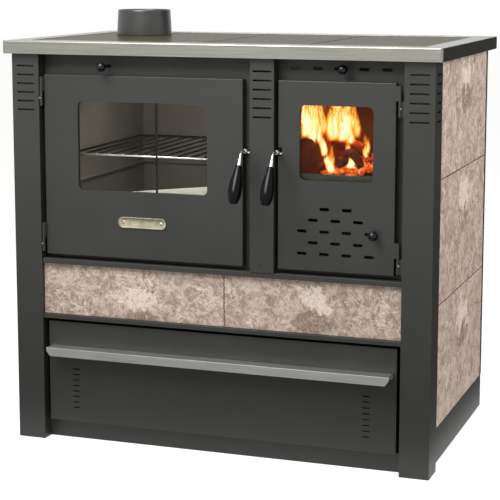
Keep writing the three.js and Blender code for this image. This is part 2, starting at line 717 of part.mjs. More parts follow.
function addOven(group) {
  const x = [cavityX, cavityX + cavityWidth];
  const y = [plateBack + seat, plateBack + seat + cavityDepth];
  const z = [cavityBottom, cavityBottom + cavityHeight];
  const shell = cut(
    block([x[0] - sheet, x[1] + sheet], [y[0], y[1] + sheet], [z[0] - sheet, z[1] + sheet]),
    block(x, [y[0] - 1, y[1]], z),
  );
  const weld = sheet / 4;
  const ledgeY = [y[0] + ovenLedgeInset, y[1] + weld];
  const ledges = [lowerLedgeLevel, rackLevel].flatMap((top) => [
    block([x[0] - weld, x[0] + ledgeWidth], ledgeY, [top - ledgeThickness, top]),
    block([x[1] - ledgeWidth, x[1] + weld], ledgeY, [top - ledgeThickness, top]),
  ]);
  const rearLedgeZ = [lowerLedgeLevel - ledgeThickness, lowerLedgeLevel];
  const rearLedge = block(x, [y[1] - ledgeWidth, y[1] + weld], rearLedgeZ);
  add(group, "oven_box", join(shell, ledges, rearLedge), ovenEnamel);

  const rackX = [x[0] + rackGap, x[1] - rackGap];
  const rackY = [y[0] + rackFrontInset, y[1] - rackBackInset];
  const wireZ = rackLevel + seat + rackWire;
  const crossWires = rackY.map((wireY) => rod("x", rackWire, ...rackX, [wireY, wireZ], wireSides));
  const pitch = (rackX[1] - rackX[0] - 2 * rackWire) / (rackRods - 1);
  const rods = repeat(rackRods, (i) => {
    const rodX = rackX[0] + rackWire + i * pitch;
    const centre = [rodX, wireZ + rackRodLift];
    return rod("y", rackRodRadius, ...grow(rackY, rackRodRadius), centre, rackRodSides);
  });
  add(group, "oven_rack", join(...crossWires, rods), chrome);

  const roof = z[1] + sheet + seat;
  const baffleLeft = damperX + damperPlateGauge / 2 + seat;
  const baffleX = [baffleLeft, baffleLeft + sheet];
  const windowY = around(damperPlateFront + damperPlateLength / 2, damperWindow);
  const windowZ = [damperZ - damperWindowDrop, damperZ + damperWindowRise];
  const baffle = cut(
    block(baffleX, [damperPlateFront + bafflePlateLap, y[1]], [roof, innerTop]),
    block(grow(baffleX, 1), windowY, windowZ),
  );
  add(group, "smoke_baffle", baffle, rawSteel);
}

// ---- Firebox -----------------------------------------------------------------------------------

function addFirebox(group) {
  const x = [casingX, casingX + casingWidth];
  const y = [casingFront, casingFront + casingDepth];
  const z = [deckTop + seat, innerTop];
  const inX = [x[0] + floorSheet, x[1] - floorSheet];
  const inY = [y[0] - 1, y[1] - floorSheet];
  const railWidth = ashPanSideGap + ashRailLap;
  const smokeWindow = block(
    [x[0] - 1, inX[0] + 1],
    grow(y, -smokeWindowInset),
    [z[1] - smokeWindowHeight - smokeWindowDrop, z[1] - smokeWindowDrop],
  );
  const railZ = [ashRailLevel - ashRailThickness, ashRailLevel - seat];
  const ledgeZ = [hearthLevel - hearthLedgeThickness, hearthLevel - seat];
  const inset = (side, width) => (side < 0 ? [inX[0] - 1, inX[0] + width] : [inX[1] - width, inX[1] + 1]);
  const casing = cut(
    join(
      cut(block(x, y, z), block(inX, inY, [z[0] + floorSheet, z[1] + 1])),
      [-1, 1].flatMap((side) => [
        block(inset(side, railWidth), [y[0], y[1] - 1], railZ),
        block(inset(side, hearthLedge), [y[0], y[1] - 1], ledgeZ),
      ]),
    ),
    smokeWindow,
  );
  add(group, "firebox_casing", casing, rawSteel);

  const hearthX = [inX[0] + seat, inX[1] - seat];
  const hearthY = [y[0] + hearthSetback, inY[1] - seat];
  const hearthTop = hearthLevel + hearthThickness;
  const brickX = grow(inX, -seat);
  const holeX = grow(brickX, -brickThickness - grateSideGap - grateLap);
  const holeY = [y[0] + hearthHoleSetback, y[0] + hearthHoleSetback + hearthHoleDepth];
  const retainerBack = hearthY[0] + logRetainerThickness;
  const retainer = block(
    around(fireDoorMiddle, fireDoorWidth - 2 * mouthInset - logRetainerThickness),
    [hearthY[0], retainerBack],
    [hearthTop - hearthThickness / 2, hearthTop + logRetainerHeight],
  );
  const hearth = cut(
    block(hearthX, hearthY, [hearthLevel, hearthTop]),
    block(holeX, holeY, [hearthLevel - 1, hearthTop + 1]),
  );
  add(group, "hearth_plate", join(hearth, retainer), castIron);

  const grateX = grow(holeX, grateLap);
  const grateY = grow(holeY, grateLap);
  const grateZ = [hearthTop + seat, hearthTop + seat + grateThickness];
  const gratePitch = grateBar + grateSlot;
  const slotCount = Math.floor((holeX[1] - holeX[0] - grateBar) / gratePitch);
  const first = (holeX[0] + holeX[1] - slotCount * gratePitch + grateBar) / 2;
  const slots = repeat(slotCount, (i) => {
    const left = first + i * gratePitch;
    return block([left, left + grateSlot], grow(grateY, -grateRim), grow(grateZ, 1));
  });
  add(group, "grate", cut(block(grateX, grateY, grateZ), slots), castIron);

  const brickZ = [hearthTop + seat, z[1] - brickDrop];
  const brickY = [retainerBack + brickSetback, inY[1] - seat];
  const leftBrick = [brickX[0], brickX[0] + brickThickness];
  const rightBrick = [brickX[1] - brickThickness, brickX[1]];
  const rearBrick = grow(brickX, -brickThickness - seat);
  add(group, "firebrick_left", block(leftBrick, brickY, brickZ), firebrick);
  add(group, "firebrick_right", block(rightBrick, brickY, brickZ), firebrick);
  const rearY = [brickY[1] - brickThickness, brickY[1]];
  add(group, "firebrick_rear", block(rearBrick, rearY, brickZ), firebrick);

  const panX = grow(inX, -ashPanSideGap);
  const panY = [y[0] + ashPanSetback, y[0] + ashPanSetback + ashPanLength];
  const panZ = [ashRailLevel, ashRailLevel + ashPanHeight];
  const pan = cut(
    block(panX, panY, panZ),
    block(grow(panX, -sheet), grow(panY, -sheet), [panZ[0] + sheet, panZ[1] + 1]),
  );
  add(group, "ash_pan", pan, rawSteel);
}

// ---- Doors -------------------------------------------------------------------------------------

// The slots of the firebox door, one row of slots for each entry of slotRows.
function doorSlots(middle, visit) {
  return slotRows.flatMap((count, row) =>
    repeat(count, (i) => {
      const x = middle + (i - (count - 1) / 2) * slotPitchX;
      const z = slotBottomRow + row * slotPitchZ;
      return visit(x, z, row === knobRow && i === count - 1);
    }));
}

// A door in its own frame: X from its left edge, Y from its face to the rear, Z from its bottom.
// The hinge side is -1 for the left edge and 1 for the right edge.
function addDoor(group, door) {
  const { name, width, windowWidth, windowZ, hingeSide, hingeGap } = door;
  const height = doorHeight;
  const windowX = around(width / 2, windowWidth);
  const hingeX = hingeSide < 0 ? -hingeGap / 2 : width + hingeGap / 2;
  const hingeY = -hingeForward;
  const knuckleBottoms = [hingeInsetBottom, height - hingeInsetTop - knuckleLength];
  const half = (knuckleLength - knuckleSplit) / 2;

  // Skin, folded back at its four edges, with the moving halves of the hinge knuckles welded on.
  const edge = hingeSide < 0 ? 0 : width;
  const webX = hingeSide < 0 ? [hingeX - 1, edge + 1] : [edge - 1, hingeX + 1];
  const knuckles = knuckleBottoms.map((bottom) => {
    const z = [bottom + half + knuckleSplit, bottom + knuckleLength];
    const barrel = rod("z", knuckleRadius, z[0], z[1], [hingeX, hingeY], barrelSides);
    const tab = block(webX, [hingeY + pinRadius, sheet], z);
    return cut(join(barrel, tab), rod("z", pinRadius + seat, z[0] - 1, z[1] + 1, [hingeX, hingeY]));
  });
  const skin = cut(
    block([0, width], [0, doorDepth], [0, height]),
    block([sheet, width - sheet], [sheet, doorDepth + 1], [sheet, height - sheet]),
    roundedSlab(windowX, [-1, sheet + 1], windowZ, windowRadius),
    door.skinCuts,
  );
  add(group, name + "_panel", join(skin, knuckles), paint);

  // Glass, and the inner frame that clamps it and carries the gasket.
  const glassFront = sheet + seat;
  const glassBack = glassFront + glassThickness;
  const glassX = [windowX[0] - glassMargin, windowX[1] + glassMargin];
  const glassZ = [windowZ[0] - glassMargin, windowZ[1] + glassMargin];
  add(group, name + "_glass", block(glassX, [glassFront, glassBack], glassZ), clearGlass);

  const frameX = [doorFrameInset, width - doorFrameInset];
  const frameZ = [doorFrameInset, height - doorFrameInset];
  const frameY = [glassBack + seat, doorDepth + frameProud];
  const rimWidth = gasketWidth + 2 * gasketInset;
  const pan = cut(
    block(frameX, frameY, frameZ),
    block(grow(frameX, -rimWidth), [frameY[0] + sheet, frameY[1] + 1], grow(frameZ, -rimWidth)),
    roundedSlab(windowX, grow(frameY, 1), windowZ, windowRadius),
    door.frameCuts,
  );
  add(group, name + "_frame", cut(join(pan, door.frameAdds), door.frameBores), rawSteel);

  const gasketY = [frameY[1] + seat, gasketBack];
  const gasketX = grow(frameX, -gasketInset);
  const gasketZ = grow(frameZ, -gasketInset);
  const inside = block(grow(gasketX, -gasketWidth), grow(gasketY, 1), grow(gasketZ, -gasketWidth));
  add(group, name + "_gasket", cut(block(gasketX, gasketY, gasketZ), inside), rope);
  return { hingeX, hingeY, knuckleBottoms, half };
}

// The fixed lower half of a hinge with its pin, and the tab that is welded to the post.
function addHinges(group, label, door, postFace) {
  ["lower", "upper"].forEach((place, i) => {
    const bottom = door.knuckleBottoms[i];
    const x = postFace < 0 ? [postFace + seat, door.hingeX] : [door.hingeX, postFace - seat];
    const axis = [door.hingeX, door.hingeY];
    const half = [bottom, bottom + door.half];
    const hinge = join(
      rod("z", knuckleRadius, ...half, axis, barrelSides),
      rod("z", pinRadius, bottom + pinInset, bottom + knuckleLength - pinInset, axis),
      block(x, around(door.hingeY, hingeTabThickness), half),
    );
    add(group, "hinge_" + label + "_" + place, hinge, paint);
  });
}

// A door handle in its own frame: the pivot's axis runs along Y through the origin, and Y = 0 is
// the door's face. The arm leaves the ball, bends down and carries the grip.
function addHandle(group, name, shaftEnd) {
  const lean = THREE.MathUtils.degToRad(gripLean);
  const down = new THREE.Vector3(0, -Math.sin(lean), -Math.cos(lean));
  const gripTop = new THREE.Vector3(0, -gripTopReach, -gripTopDrop);
  const onAxis = (along) => gripTop.clone().addScaledVector(down, along);
  const neck = onAxis(-ferruleLength / 2);
  const start = new THREE.Vector3(0, -ballReach, 0);
  const crest = start.clone().lerp(neck, 0.45).setZ(armBow);
  const bend = start.clone().lerp(neck, 0.85).setZ(neck.z * 0.32);
  const path = new THREE.CatmullRomCurve3([start, crest, bend, neck]);
  const circle = new THREE.Shape().absarc(0, 0, armRadius, 0, 2 * Math.PI);
  const arm = new THREE.ExtrudeGeometry(circle, { extrudePath: path, steps: 9, curveSegments: 4 });
  const along = (geometry, foot) => {
    geometry.rotateX(-Math.PI / 2 - lean);
    return solid(geometry.translate(foot.x, foot.y, foot.z));
  };
  const ferrule = turned([
    [0, 0],
    [armRadius + seat, 0],
    [ferruleRadius, ferruleLength - seat],
    [0, ferruleLength - seat],
  ], barrelSides);
  const tang = turned([
    [0, 0],
    [armRadius, 0],
    [armRadius, tangLength],
    [0, tangLength],
  ], 12);
  const lever = join(
    ball(ballRadius, 0, -ballReach, 0),
    rod("y", shaftRadius, -ballReach, shaftEnd, [0, 0]),
    block(around(0, 2 * shaftRadius), [camSetback, camSetback + camThickness], [-2 * shaftRadius, 0]),
    solid(arm),
    along(ferrule, onAxis(-ferruleLength)),
    along(tang, onAxis(-1)),
  );
  add(group, name + "_lever", lever, chrome);

  const bore = armRadius + seat;
  const swell = gripRadius - gripNeckRadius;
  const grip = turned([
    [0, tangLength],
    [bore, tangLength],
    [bore, 0],
    [gripNeckRadius, 0],
    [gripNeckRadius + swell * 0.12, gripLength * 0.05],
    [gripNeckRadius + swell * 0.4, gripLength * 0.2],
    [gripNeckRadius + swell * 0.75, gripLength * 0.38],
    [gripNeckRadius + swell * 0.95, gripLength * 0.55],
    [gripRadius, gripLength * 0.66],
    [gripRadius - (gripRadius - gripFootRadius) * 0.18, gripLength * 0.8],
    [gripRadius - (gripRadius - gripFootRadius) * 0.5, gripLength * 0.91],
    [gripFootRadius, gripLength * 0.98],
    [gripFootRadius * 0.82, gripLength],
    [0, gripLength],
  ], 18);
  add(group, name + "_grip", along(grip, onAxis(0)), bakelite);
}

// How far the handles stand out in front of the posts.
function handleReach() {
  const lean = THREE.MathUtils.degToRad(gripLean);
  const foot = gripTopReach + gripLength * 0.98 * Math.sin(lean) + gripFootRadius * Math.cos(lean);
  const bulge = gripTopReach + gripLength * 0.91 * Math.sin(lean)
    + (gripRadius - (gripRadius - gripFootRadius) * 0.5) * Math.cos(lean);
  return Math.max(foot, bulge) - faceInset;
}

function addDoors(group) {
  const lugDepth = [doorDepth + seat, doorDepth + seat + lugThickness];
  const lugZ = [pivotHeight - lugHalf, pivotHeight + lugHalf];
  const shaftEnd = lugDepth[1] - seat;
  const lugBore = (x) => rod("y", shaftRadius + seat, ...grow(lugDepth, 1), [x, pivotHeight]);

  // Oven door.
  const oven = new THREE.Group();
  oven.position.set(ovenDoorLeft, faceInset, doorBottom);
  group.add(oven);
  const ovenPivot = ovenDoorWidth + ovenPivotOut;
  const frameRight = ovenDoorWidth - doorFrameInset;
  const glassBack = sheet + seat + glassThickness;
  const stayX = around(ovenDoorWidth / 2 + glassStayOffset, glassStayWidth);
  const ovenWindowZ = [ovenWindowBottom, doorHeight - ovenWindowDrop];
  const ovenDoor = addDoor(oven, {
    name: "oven_door",
    width: ovenDoorWidth,
    windowWidth: ovenWindowWidth,
    windowZ: ovenWindowZ,
    hingeSide: -1,
    hingeGap: ovenDoorHingeGap,
    skinCuts: [],
    frameCuts: [],
    frameAdds: [
      block(stayX, [glassBack + seat, glassBack + seat + sheet], grow(ovenWindowZ, 1)),
      block([frameRight - lugRoot, ovenPivot + lugReach], lugDepth, lugZ),
    ],
    frameBores: [lugBore(ovenPivot)],
  });
  addHinges(oven, "oven", ovenDoor, -ovenDoorHingeGap);
  const badgeX = around(ovenDoorWidth / 2, badgeWidth);
  const badgeY = [-seat - badgeThickness, -seat];
  const badgeZ = [badgeBottom, badgeBottom + badgeHeight];
  add(oven, "badge_plate", roundedSlab(badgeX, badgeY, badgeZ, badgeHeight / 2 - flat, 4), nickel);
  const ovenHandle = new THREE.Group();
  ovenHandle.position.set(ovenPivot, 0, pivotHeight);
  oven.add(ovenHandle);
  addHandle(ovenHandle, "oven_handle", shaftEnd);

  // Firebox door, with its air slots and the slide behind them.
  const fire = new THREE.Group();
  fire.position.set(fireDoorLeft, faceInset, doorBottom);
  group.add(fire);
  const middle = fireDoorWidth / 2;
  const holes = doorSlots(middle, (x, z, holdsKnob) => {
    const length = holdsKnob ? longSlotLength : slotLength;
    return slot(x + (length - slotLength) / 2, z, length, slotHeight, [-1, sheet + 1]);
  });
  const notchZ = around(pivotHeight, 2 * (2 * shaftRadius + camClearance));
  const notchX = [-1, firePivotIn + shaftRadius + camClearance];
  const notch = block(notchX, [-1, doorDepth + 1], notchZ);
  const rowHalf = ((Math.max(...slotRows) - 1) / 2) * slotPitchX + slotLength / 2;
  const fieldX = around(middle, 2 * rowHalf);
  const fieldTop = slotBottomRow + (slotRows.length - 1) * slotPitchZ;
  const fieldZ = grow([slotBottomRow, fieldTop], slotHeight / 2);
  const slideY = [sheet + seat, sheet + seat + slideGauge];
  const slideZ = grow(fieldZ, slideMargin);
  const guideX = grow(fieldX, slideMargin / 2);
  const guideY = [slideY[0], glassBack + seat + sheet / 2];
  const fireDoor = addDoor(fire, {
    name: "firebox_door",
    width: fireDoorWidth,
    windowWidth: fireWindowWidth,
    windowZ: [fireWindowBottom, doorHeight - fireWindowDrop],
    hingeSide: 1,
    hingeGap: fireDoorHingeGap,
    skinCuts: [...holes, notch],
    frameCuts: [block(fieldX, [0, 2 * doorDepth], fieldZ)],
    frameAdds: [
      block(guideX, guideY, [slideZ[0] - seat - guideWidth, slideZ[0] - seat]),
      block(guideX, guideY, [slideZ[1] + seat, slideZ[1] + seat + guideWidth]),
      block([firePivotIn - lugReach, doorFrameInset + lugRoot], lugDepth, lugZ),
    ],
    frameBores: [lugBore(firePivotIn)],
  });
  addHinges(fire, "firebox", fireDoor, fireDoorWidth + fireDoorHingeGap);

  const slideHoles = doorSlots(middle, (x, z, holdsKnob) =>
    (holdsKnob ? [] : [slot(x, z, slotLength, slotHeight, grow(slideY, 1))])).flat();
  const slide = cut(block([fieldX[0] + sheet, fieldX[1] + slideMargin], slideY, slideZ), slideHoles);
  const knobX = fieldX[1] + longSlotLength - slotLength - knobStemRadius - doorKnobPlay;
  const knobZ = slotBottomRow + knobRow * slotPitchZ;
  const pull = knob(knobX, knobZ, -doorKnobReach, slideY[1], knobStemRadius);
  add(fire, "door_air_slider", join(slide, pull), blackEnamel);
  const fireHandle = new THREE.Group();
  fireHandle.position.set(firePivotIn, 0, pivotHeight);
  fire.add(fireHandle);
  addHandle(fireHandle, "firebox_handle", shaftEnd);
}

// ---- Storage drawer ----------------------------------------------------------------------------

// The drawer in its own frame: X from its left edge, Y from its face, Z from its bottom.
function addDrawer(group) {
  const drawer = new THREE.Group();
  drawer.position.set(bayLeft + drawerSideGap, faceInset, drawerBottom);
  group.add(drawer);
  const width = bayRight - bayLeft - 2 * drawerSideGap;
  const vents = [drawerVentInset, width - drawerVentInset].flatMap((x) =>
    repeat(drawerVentCount, (i) => {
      const z = drawerVentBottom + i * drawerVentPitch;
      return block(around(x, drawerVentLength), [-1, sheet + 1], around(z, drawerVentHeight));
    }));
  const front = cut(
    block([0, width], [0, drawerDepth], [0, drawerHeight]),
    block([sheet, width - sheet], [sheet, drawerDepth + 1], [sheet, drawerHeight - sheet]),
    vents,
  );
  add(drawer, "drawer_front", front, paint);

  const trayX = [traySideInset, width - traySideInset];
  const trayY = [trayFront, trayFront + trayLength];
  const trayBottom = bayFloorTop + runnerHeight + seat - drawerBottom;
  const tray = cut(
    block(trayX, trayY, [trayBottom, trayBottom + trayHeight]),
    block(grow(trayX, -sheet), grow(trayY, -sheet), [trayBottom + sheet, trayBottom + trayHeight + 1]),
  );
  add(drawer, "drawer_tray", tray, paint);

  // The pull is a folded strip: a foot on the drawer front, a flat top and a chamfered apron.
  const pullX = [pullInset, width - pullInset];
  const top = pullHeight;
  const apron = new THREE.Shape();
  apron.moveTo(pullX[0], top);
  apron.lineTo(pullX[0], top - pullEdge);
  apron.lineTo(pullX[0] + pullChamfer, top - pullDrop);
  apron.lineTo(pullX[1] - pullChamfer, top - pullDrop);
  apron.lineTo(pullX[1], top - pullEdge);
  apron.lineTo(pullX[1], top);
  const apronGeometry = new THREE.ExtrudeGeometry(apron, { depth: pullGauge, bevelEnabled: false });
  apronGeometry.rotateX(Math.PI / 2).translate(0, -pullReach + pullGauge, 0);
  const pull = join(
    solid(apronGeometry),
    block(pullX, [-pullReach, -seat], [top - pullGauge, top]),
    block(pullX, [-seat - pullGauge, -seat], [top - pullFoot, top]),
  );
  add(drawer, "drawer_handle", pull, aluminium);
}

// ---- The whole stove ---------------------------------------------------------------------------

// The exported group stands on Z = 0 with its box centred in X and Y, handles included.
const stove = new THREE.Group();
stove.name = "wood_cookstove";
const carcass = new THREE.Group();
carcass.position.y = (handleReach() - bodyDepth - frameOverhangBack) / 2;
stove.add(carcass);
addHob(carcass);
addPosts(carcass);
addShell(carcass);
addFront(carcass);
addFrontPlates(carcass);
addHeaderControls(carcass);
addOven(carcass);
addFirebox(carcass);
addDoors(carcass);
addDrawer(carcass);

export default stove;
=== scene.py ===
# The looks of a wood cookstove: painted sheet steel, glazed tiles, a stainless surround, a cast hob,
# an oven behind glass on the left and a burning fire behind glass on the right.
# Metres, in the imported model's frame: X to the right, Y to the rear, Z up, the front faces -Y.
# Lengths in this script are written in millimetres and turned by MM.
import json
import math
import random
from contextlib import contextmanager

import bmesh
import bpy
from mathutils import Matrix, Vector


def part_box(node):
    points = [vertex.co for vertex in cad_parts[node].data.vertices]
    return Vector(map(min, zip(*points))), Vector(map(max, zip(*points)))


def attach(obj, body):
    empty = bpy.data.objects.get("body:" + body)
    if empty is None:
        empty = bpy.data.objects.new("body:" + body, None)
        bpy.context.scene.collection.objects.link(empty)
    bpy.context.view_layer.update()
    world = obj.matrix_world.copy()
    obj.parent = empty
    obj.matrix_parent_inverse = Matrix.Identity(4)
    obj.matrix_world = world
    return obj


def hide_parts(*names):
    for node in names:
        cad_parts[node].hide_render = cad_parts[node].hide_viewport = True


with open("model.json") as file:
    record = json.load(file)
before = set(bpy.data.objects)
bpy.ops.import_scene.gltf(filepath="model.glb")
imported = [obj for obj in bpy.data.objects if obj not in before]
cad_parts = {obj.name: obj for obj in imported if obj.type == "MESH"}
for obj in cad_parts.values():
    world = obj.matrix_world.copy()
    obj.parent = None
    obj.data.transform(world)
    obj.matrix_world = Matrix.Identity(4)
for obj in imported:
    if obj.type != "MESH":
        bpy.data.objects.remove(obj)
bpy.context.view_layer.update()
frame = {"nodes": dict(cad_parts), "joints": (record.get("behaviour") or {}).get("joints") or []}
nodes = frame["nodes"]
MM = 0.001
FRONT, REAR, UP = Vector((0, -1, 0)), Vector((0, 1, 0)), Vector((0, 0, 1))

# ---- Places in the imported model, in mm ----

FACE = -215.6  # front faces of the doors and the tiles
POST_FACE = -225.6  # front faces of the posts


def box_mm(name):
    """Lowest and highest corner of a CAD node, in mm."""
    low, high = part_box(name)
    return Vector(low) / MM, Vector(high) / MM


def joint_mm(name):
    """A point on a joint's axis, in mm."""
    return Vector(next(joint["pos_m"] for joint in frame["joints"] if joint["name"] == name)) / MM


# ---- Materials ----

# The sockets of a Mix node that mixes colours.
FACTOR, UNDER, OVER = 0, 6, 7


def linear(hex_colour):
    """An sRGB hex colour as linear RGBA."""
    parts = [int(hex_colour[i:i + 2], 16) / 255 for i in (1, 3, 5)]
    return tuple(c / 12.92 if c <= 0.04045 else ((c + 0.055) / 1.055) ** 2.4 for c in parts) + (1.0,)


def per(mm):
    """Texture scale that gives marks of about this size in mm."""
    return 1 / (mm * MM)


def feed(tree, node, inputs):
    """Fills a node's inputs: each takes a node or an output to link, an sRGB hex or a plain value."""
    for name, value in inputs.items():
        if isinstance(value, bpy.types.Node):
            value = next(output for output in value.outputs if output.enabled)
        if isinstance(value, bpy.types.NodeSocket):
            tree.links.new(value, node.inputs[name])
        else:
            node.inputs[name].default_value = linear(value) if isinstance(value, str) else value


def add_node(tree, kind, inputs=None, stops=(), **settings):
    """Adds a node with its settings, its inputs and a ramp's stops, each a place and a hex or grey."""
    made = tree.nodes.new("ShaderNode" + kind)
    for name, value in settings.items():
        setattr(made, name, value)
    feed(tree, made, inputs or {})
    if stops:
        elements = made.color_ramp.elements
        while len(elements) < len(stops):
            elements.new(0.5)
        for element, (place, colour) in zip(elements, stops):
            element.position = place
            element.color = linear(colour) if isinstance(colour, str) else (colour,) * 3 + (1,)
    return made


def new_material(name, **values):
    """A Principled material with plain values on the shader's own sockets."""
    material = bpy.data.materials.new(name)
    material.use_nodes = True
    tree = material.node_tree
    shader = tree.nodes["Principled BSDF"]
    feed(tree, shader, {socket.replace("_", " "): value for socket, value in values.items()})
    place = add_node(tree, "TexCoord").outputs["Object"]
    return material, tree, shader, place


def cloudy(
    tree, place, size, low=0.0, high=1.0, detail=4, stretch=(1, 1, 1), rough=0.55, twist=0.0,
    at=(0, 0, 0), span=0.2,
):
    """Marks of about a size in mm, as a ramp between two colours or greys; a small span sharpens them."""
    mapped = add_node(tree, "Mapping", {"Vector": place, "Scale": stretch, "Location": at})
    noise = add_node(tree, "TexNoise", {
        "Vector": mapped, "Scale": per(size), "Detail": detail, "Roughness": rough, "Distortion": twist,
    })
    return add_node(tree, "ValToRGB", {"Fac": noise}, [(0.5 - span, low), (0.5 + span, high)]), noise


def surface(
    name, dark, light, size, rough, grain=3.0, depth=0.05, details=(5, 3), strength=0.3, spread=0.05,
    stretch=(1, 1, 1), **values,
):
    """A finish whose colour drifts softly and whose surface has a grain of its own size in mm."""
    material, tree, shader, place = new_material(name, **values)
    colour, _ = cloudy(tree, place, size, dark, light, details[0], stretch)
    rough, height = cloudy(tree, place, grain, rough - spread, rough + spread, details[1], stretch)
    bump = add_node(tree, "Bump", {"Height": height, "Strength": strength, "Distance": depth * MM})
    feed(tree, shader, {"Base Color": colour, "Roughness": rough, "Normal": bump})
    return material


def painted_steel(name, dark, light, rough):
    """Sprayed silicone stove paint on sheet steel: satin-matt, a faint cloud and a fine grain.
    The real grain is 0.3 mm; it is drawn at 3 mm so that it shows."""
    values = {"Metallic": 0.0, "IOR": 1.5, "Specular_IOR_Level": 0.5}
    return surface(name, dark, light, 160, rough, 3, 0.06, (3, 2), 0.25, **values)


def brushed_metal(name, dark, light, rough):
    """Long-grain brushed sheet: fine streaks along X that stretch the reflections."""
    return surface(name, dark, light, 140, rough, 84, 0.03, (6, 5), 0.06, 0.08, (1, 60, 60), Metallic=1.0)


# Along each joint of the hob: from the plate's edge to the middle of the sooty line, half its
# width, and its soft edge.
SOOT_PLACE, SOOT_HALF, SOOT_FADE = 0.5, 1.8, 1.2


def ground_iron():
    """Ground and seasoned cast iron hob: a dull olive sheen with soft mottling.
    The oil film keeps it dark at a low angle, where bare metal would turn white, and soot gathers
    in the joints between the plates."""
    material, tree, shader, place = new_material("ground_cast_iron", Specular_Tint="#6f6c62")
    colour, _ = cloudy(tree, place, 70, "#6c6857", "#7a7564", detail=6, rough=0.5)
    rough, grain = cloudy(tree, place, 14, 0.27, 0.33, detail=4)
    across = add_node(tree, "SeparateXYZ", {0: place}).outputs["X"]
    sides = []
    for plate in ("hob_plate_left", "hob_plate_centre"):
        joint = box_mm(plate)[1].x + SOOT_PLACE
        away = add_node(tree, "Math", {0: across, 1: joint * MM}, operation="SUBTRACT")
        away = add_node(tree, "Math", {0: away}, operation="ABSOLUTE")
        sides.append(add_node(tree, "MapRange", {
            "Value": away, "From Min": SOOT_HALF * MM, "From Max": (SOOT_HALF + SOOT_FADE) * MM,
            "To Min": 0.0, "To Max": 1.0,
        }))
    clean = add_node(tree, "Math", dict(enumerate(sides)), operation="MINIMUM")
    colour = add_node(tree, "Mix", {FACTOR: clean, UNDER: "#040404", OVER: colour}, data_type="RGBA")
    rough = add_node(tree, "Mix", {FACTOR: clean, UNDER: "#ffffff", OVER: rough}, data_type="RGBA")
    metal = add_node(tree, "Math", {0: clean, 1: 0.85}, operation="MULTIPLY")
    bump = add_node(tree, "Bump", {"Height": grain, "Strength": 0.03, "Distance": 0.02 * MM})
    feed(tree, shader, {"Base Color": colour, "Roughness": rough, "Metallic": metal, "Normal": bump})
    return material


# Outer sheets, and a paler copy with a duller sheen for the recessed sheets, painted lighter to lift the
# shade that falls in the recesses.
paint = painted_steel("heat_resistant_paint", "#262624", "#2d2d2b", 0.46)
paint_lightened_in_shade = painted_steel("heat_resistant_paint_lightened_in_recess", "#363633", "#3f3f3c", 0.6)
# Stainless sheet, brushed along the length of each rail: cool grey with faint warm and dull patches.
stainless = brushed_metal("brushed_stainless_steel", "#8f8e86", "#a3a299", 0.34)
# Anodised bar of the drawer's handle: paler and duller than the stainless sheet.
aluminium = brushed_metal("brushed_anodised_aluminium", "#b9bbb8", "#cbcdca", 0.42)
hob_iron = ground_iron()
# Vitreous enamel on the flue spigot: satin black that scatters a broad soft highlight.
black_enamel = surface("satin_black_enamel", "#262625", "#30302f", 40, 0.34, Specular_IOR_Level=0.6)
# Enamelled ball knobs: glossy black with a small sharp highlight.
black_gloss = surface(
    "glossy_black_enamel", "#090909", "#0f0f0f", 20, 0.2, 3.0, 0.01, Specular_IOR_Level=0.3,
)
# Slide plates behind the slots: dead black, partly soot and partly painted shade, so that the slots read
# dark.
soot_and_shade_steel = surface(
    "soot_and_shade_slide_plate", "#050505", "#0a0a0a", 20, 0.7, 3.0, 0.02, Specular_IOR_Level=0.1,
)
# Moulded phenolic resin: near black and glossy, with a faint polish haze.
bakelite = surface(
    "moulded_phenolic_resin", "#030303", "#060606", 20, 0.16, 2.0, 0.005, Specular_IOR_Level=0.14,
)
# Polished chrome on the handles' arms: it mirrors the room.
chrome = surface("bright_chrome_plate", "#cfd0d0", "#dcdddd", 30, 0.1, 4.0, 0.005, Metallic=1.0)
# Chrome rods deep in the oven, darkened as painted shade and as a painted reflection of the dark oven.
chrome_darkened_as_shade = surface("chrome_darkened_with_painted_shade", "#3b3531", "#4b443f", 30, 0.3, 4.0, 0.01, Metallic=0.9)
# Oven liner: grey-brown enamel baked dull by years of heat.
oven_enamel = surface("oven_liner_enamel", "#64615b", "#726f69", 120, 0.42, 4.0, 0.05)
# Rolled sheet that was never painted: dark, with a weak sheen.
raw_steel = surface("mill_finish_steel", "#2e2c2a", "#3a3835", 60, 0.5, 3.0, 0.05, Metallic=0.6)
# Aluminised sheet: bright, cool and slightly milky.
aluminised = surface("aluminised_sheet", "#c3c7c3", "#d3d6d2", 40, 0.4, 4.0, 0.03, Metallic=0.7)
# Strip that holds the fire's glass: grey-green, dulled by heat.
strip_steel = surface("heat_dulled_steel", "#272923", "#3b3d36", 50, 0.5, 3.0, 0.04, Metallic=0.4)
# Zinc-plated screws and rivets.
zinc = surface("zinc_plated_steel", "#b5b4ae", "#cfcec8", 10, 0.3, 2.0, 0.02, Metallic=1.0)
# Sand-cast iron as it left the mould: dark brown-grey and rough.
grate_iron = surface("sand_cast_grate_iron", "#2b2826", "#3a3532", 25, 0.7, 2.0, 0.3)
# Pressed vermiculite board: pale tan, sooted, with flakes of about 2 mm.
firebrick = surface("pressed_vermiculite_board", "#4c382c", "#7c5f4a", 50, 0.92, 2.5, 0.8)
# Braided glass rope seal: pale grey yarns about 2 mm wide.
rope_seal = surface("braided_glass_rope", "#77746e", "#a3a09a", 2, 0.95, 2.0, 0.9)
# Cast badge with a champagne nickel plate, toned in clouds of about 12 mm.
nickel = surface("champagne_nickel_plate", "#9b927e", "#c8c0ab", 12, 0.3, 2.0, 0.05, Metallic=0.85)


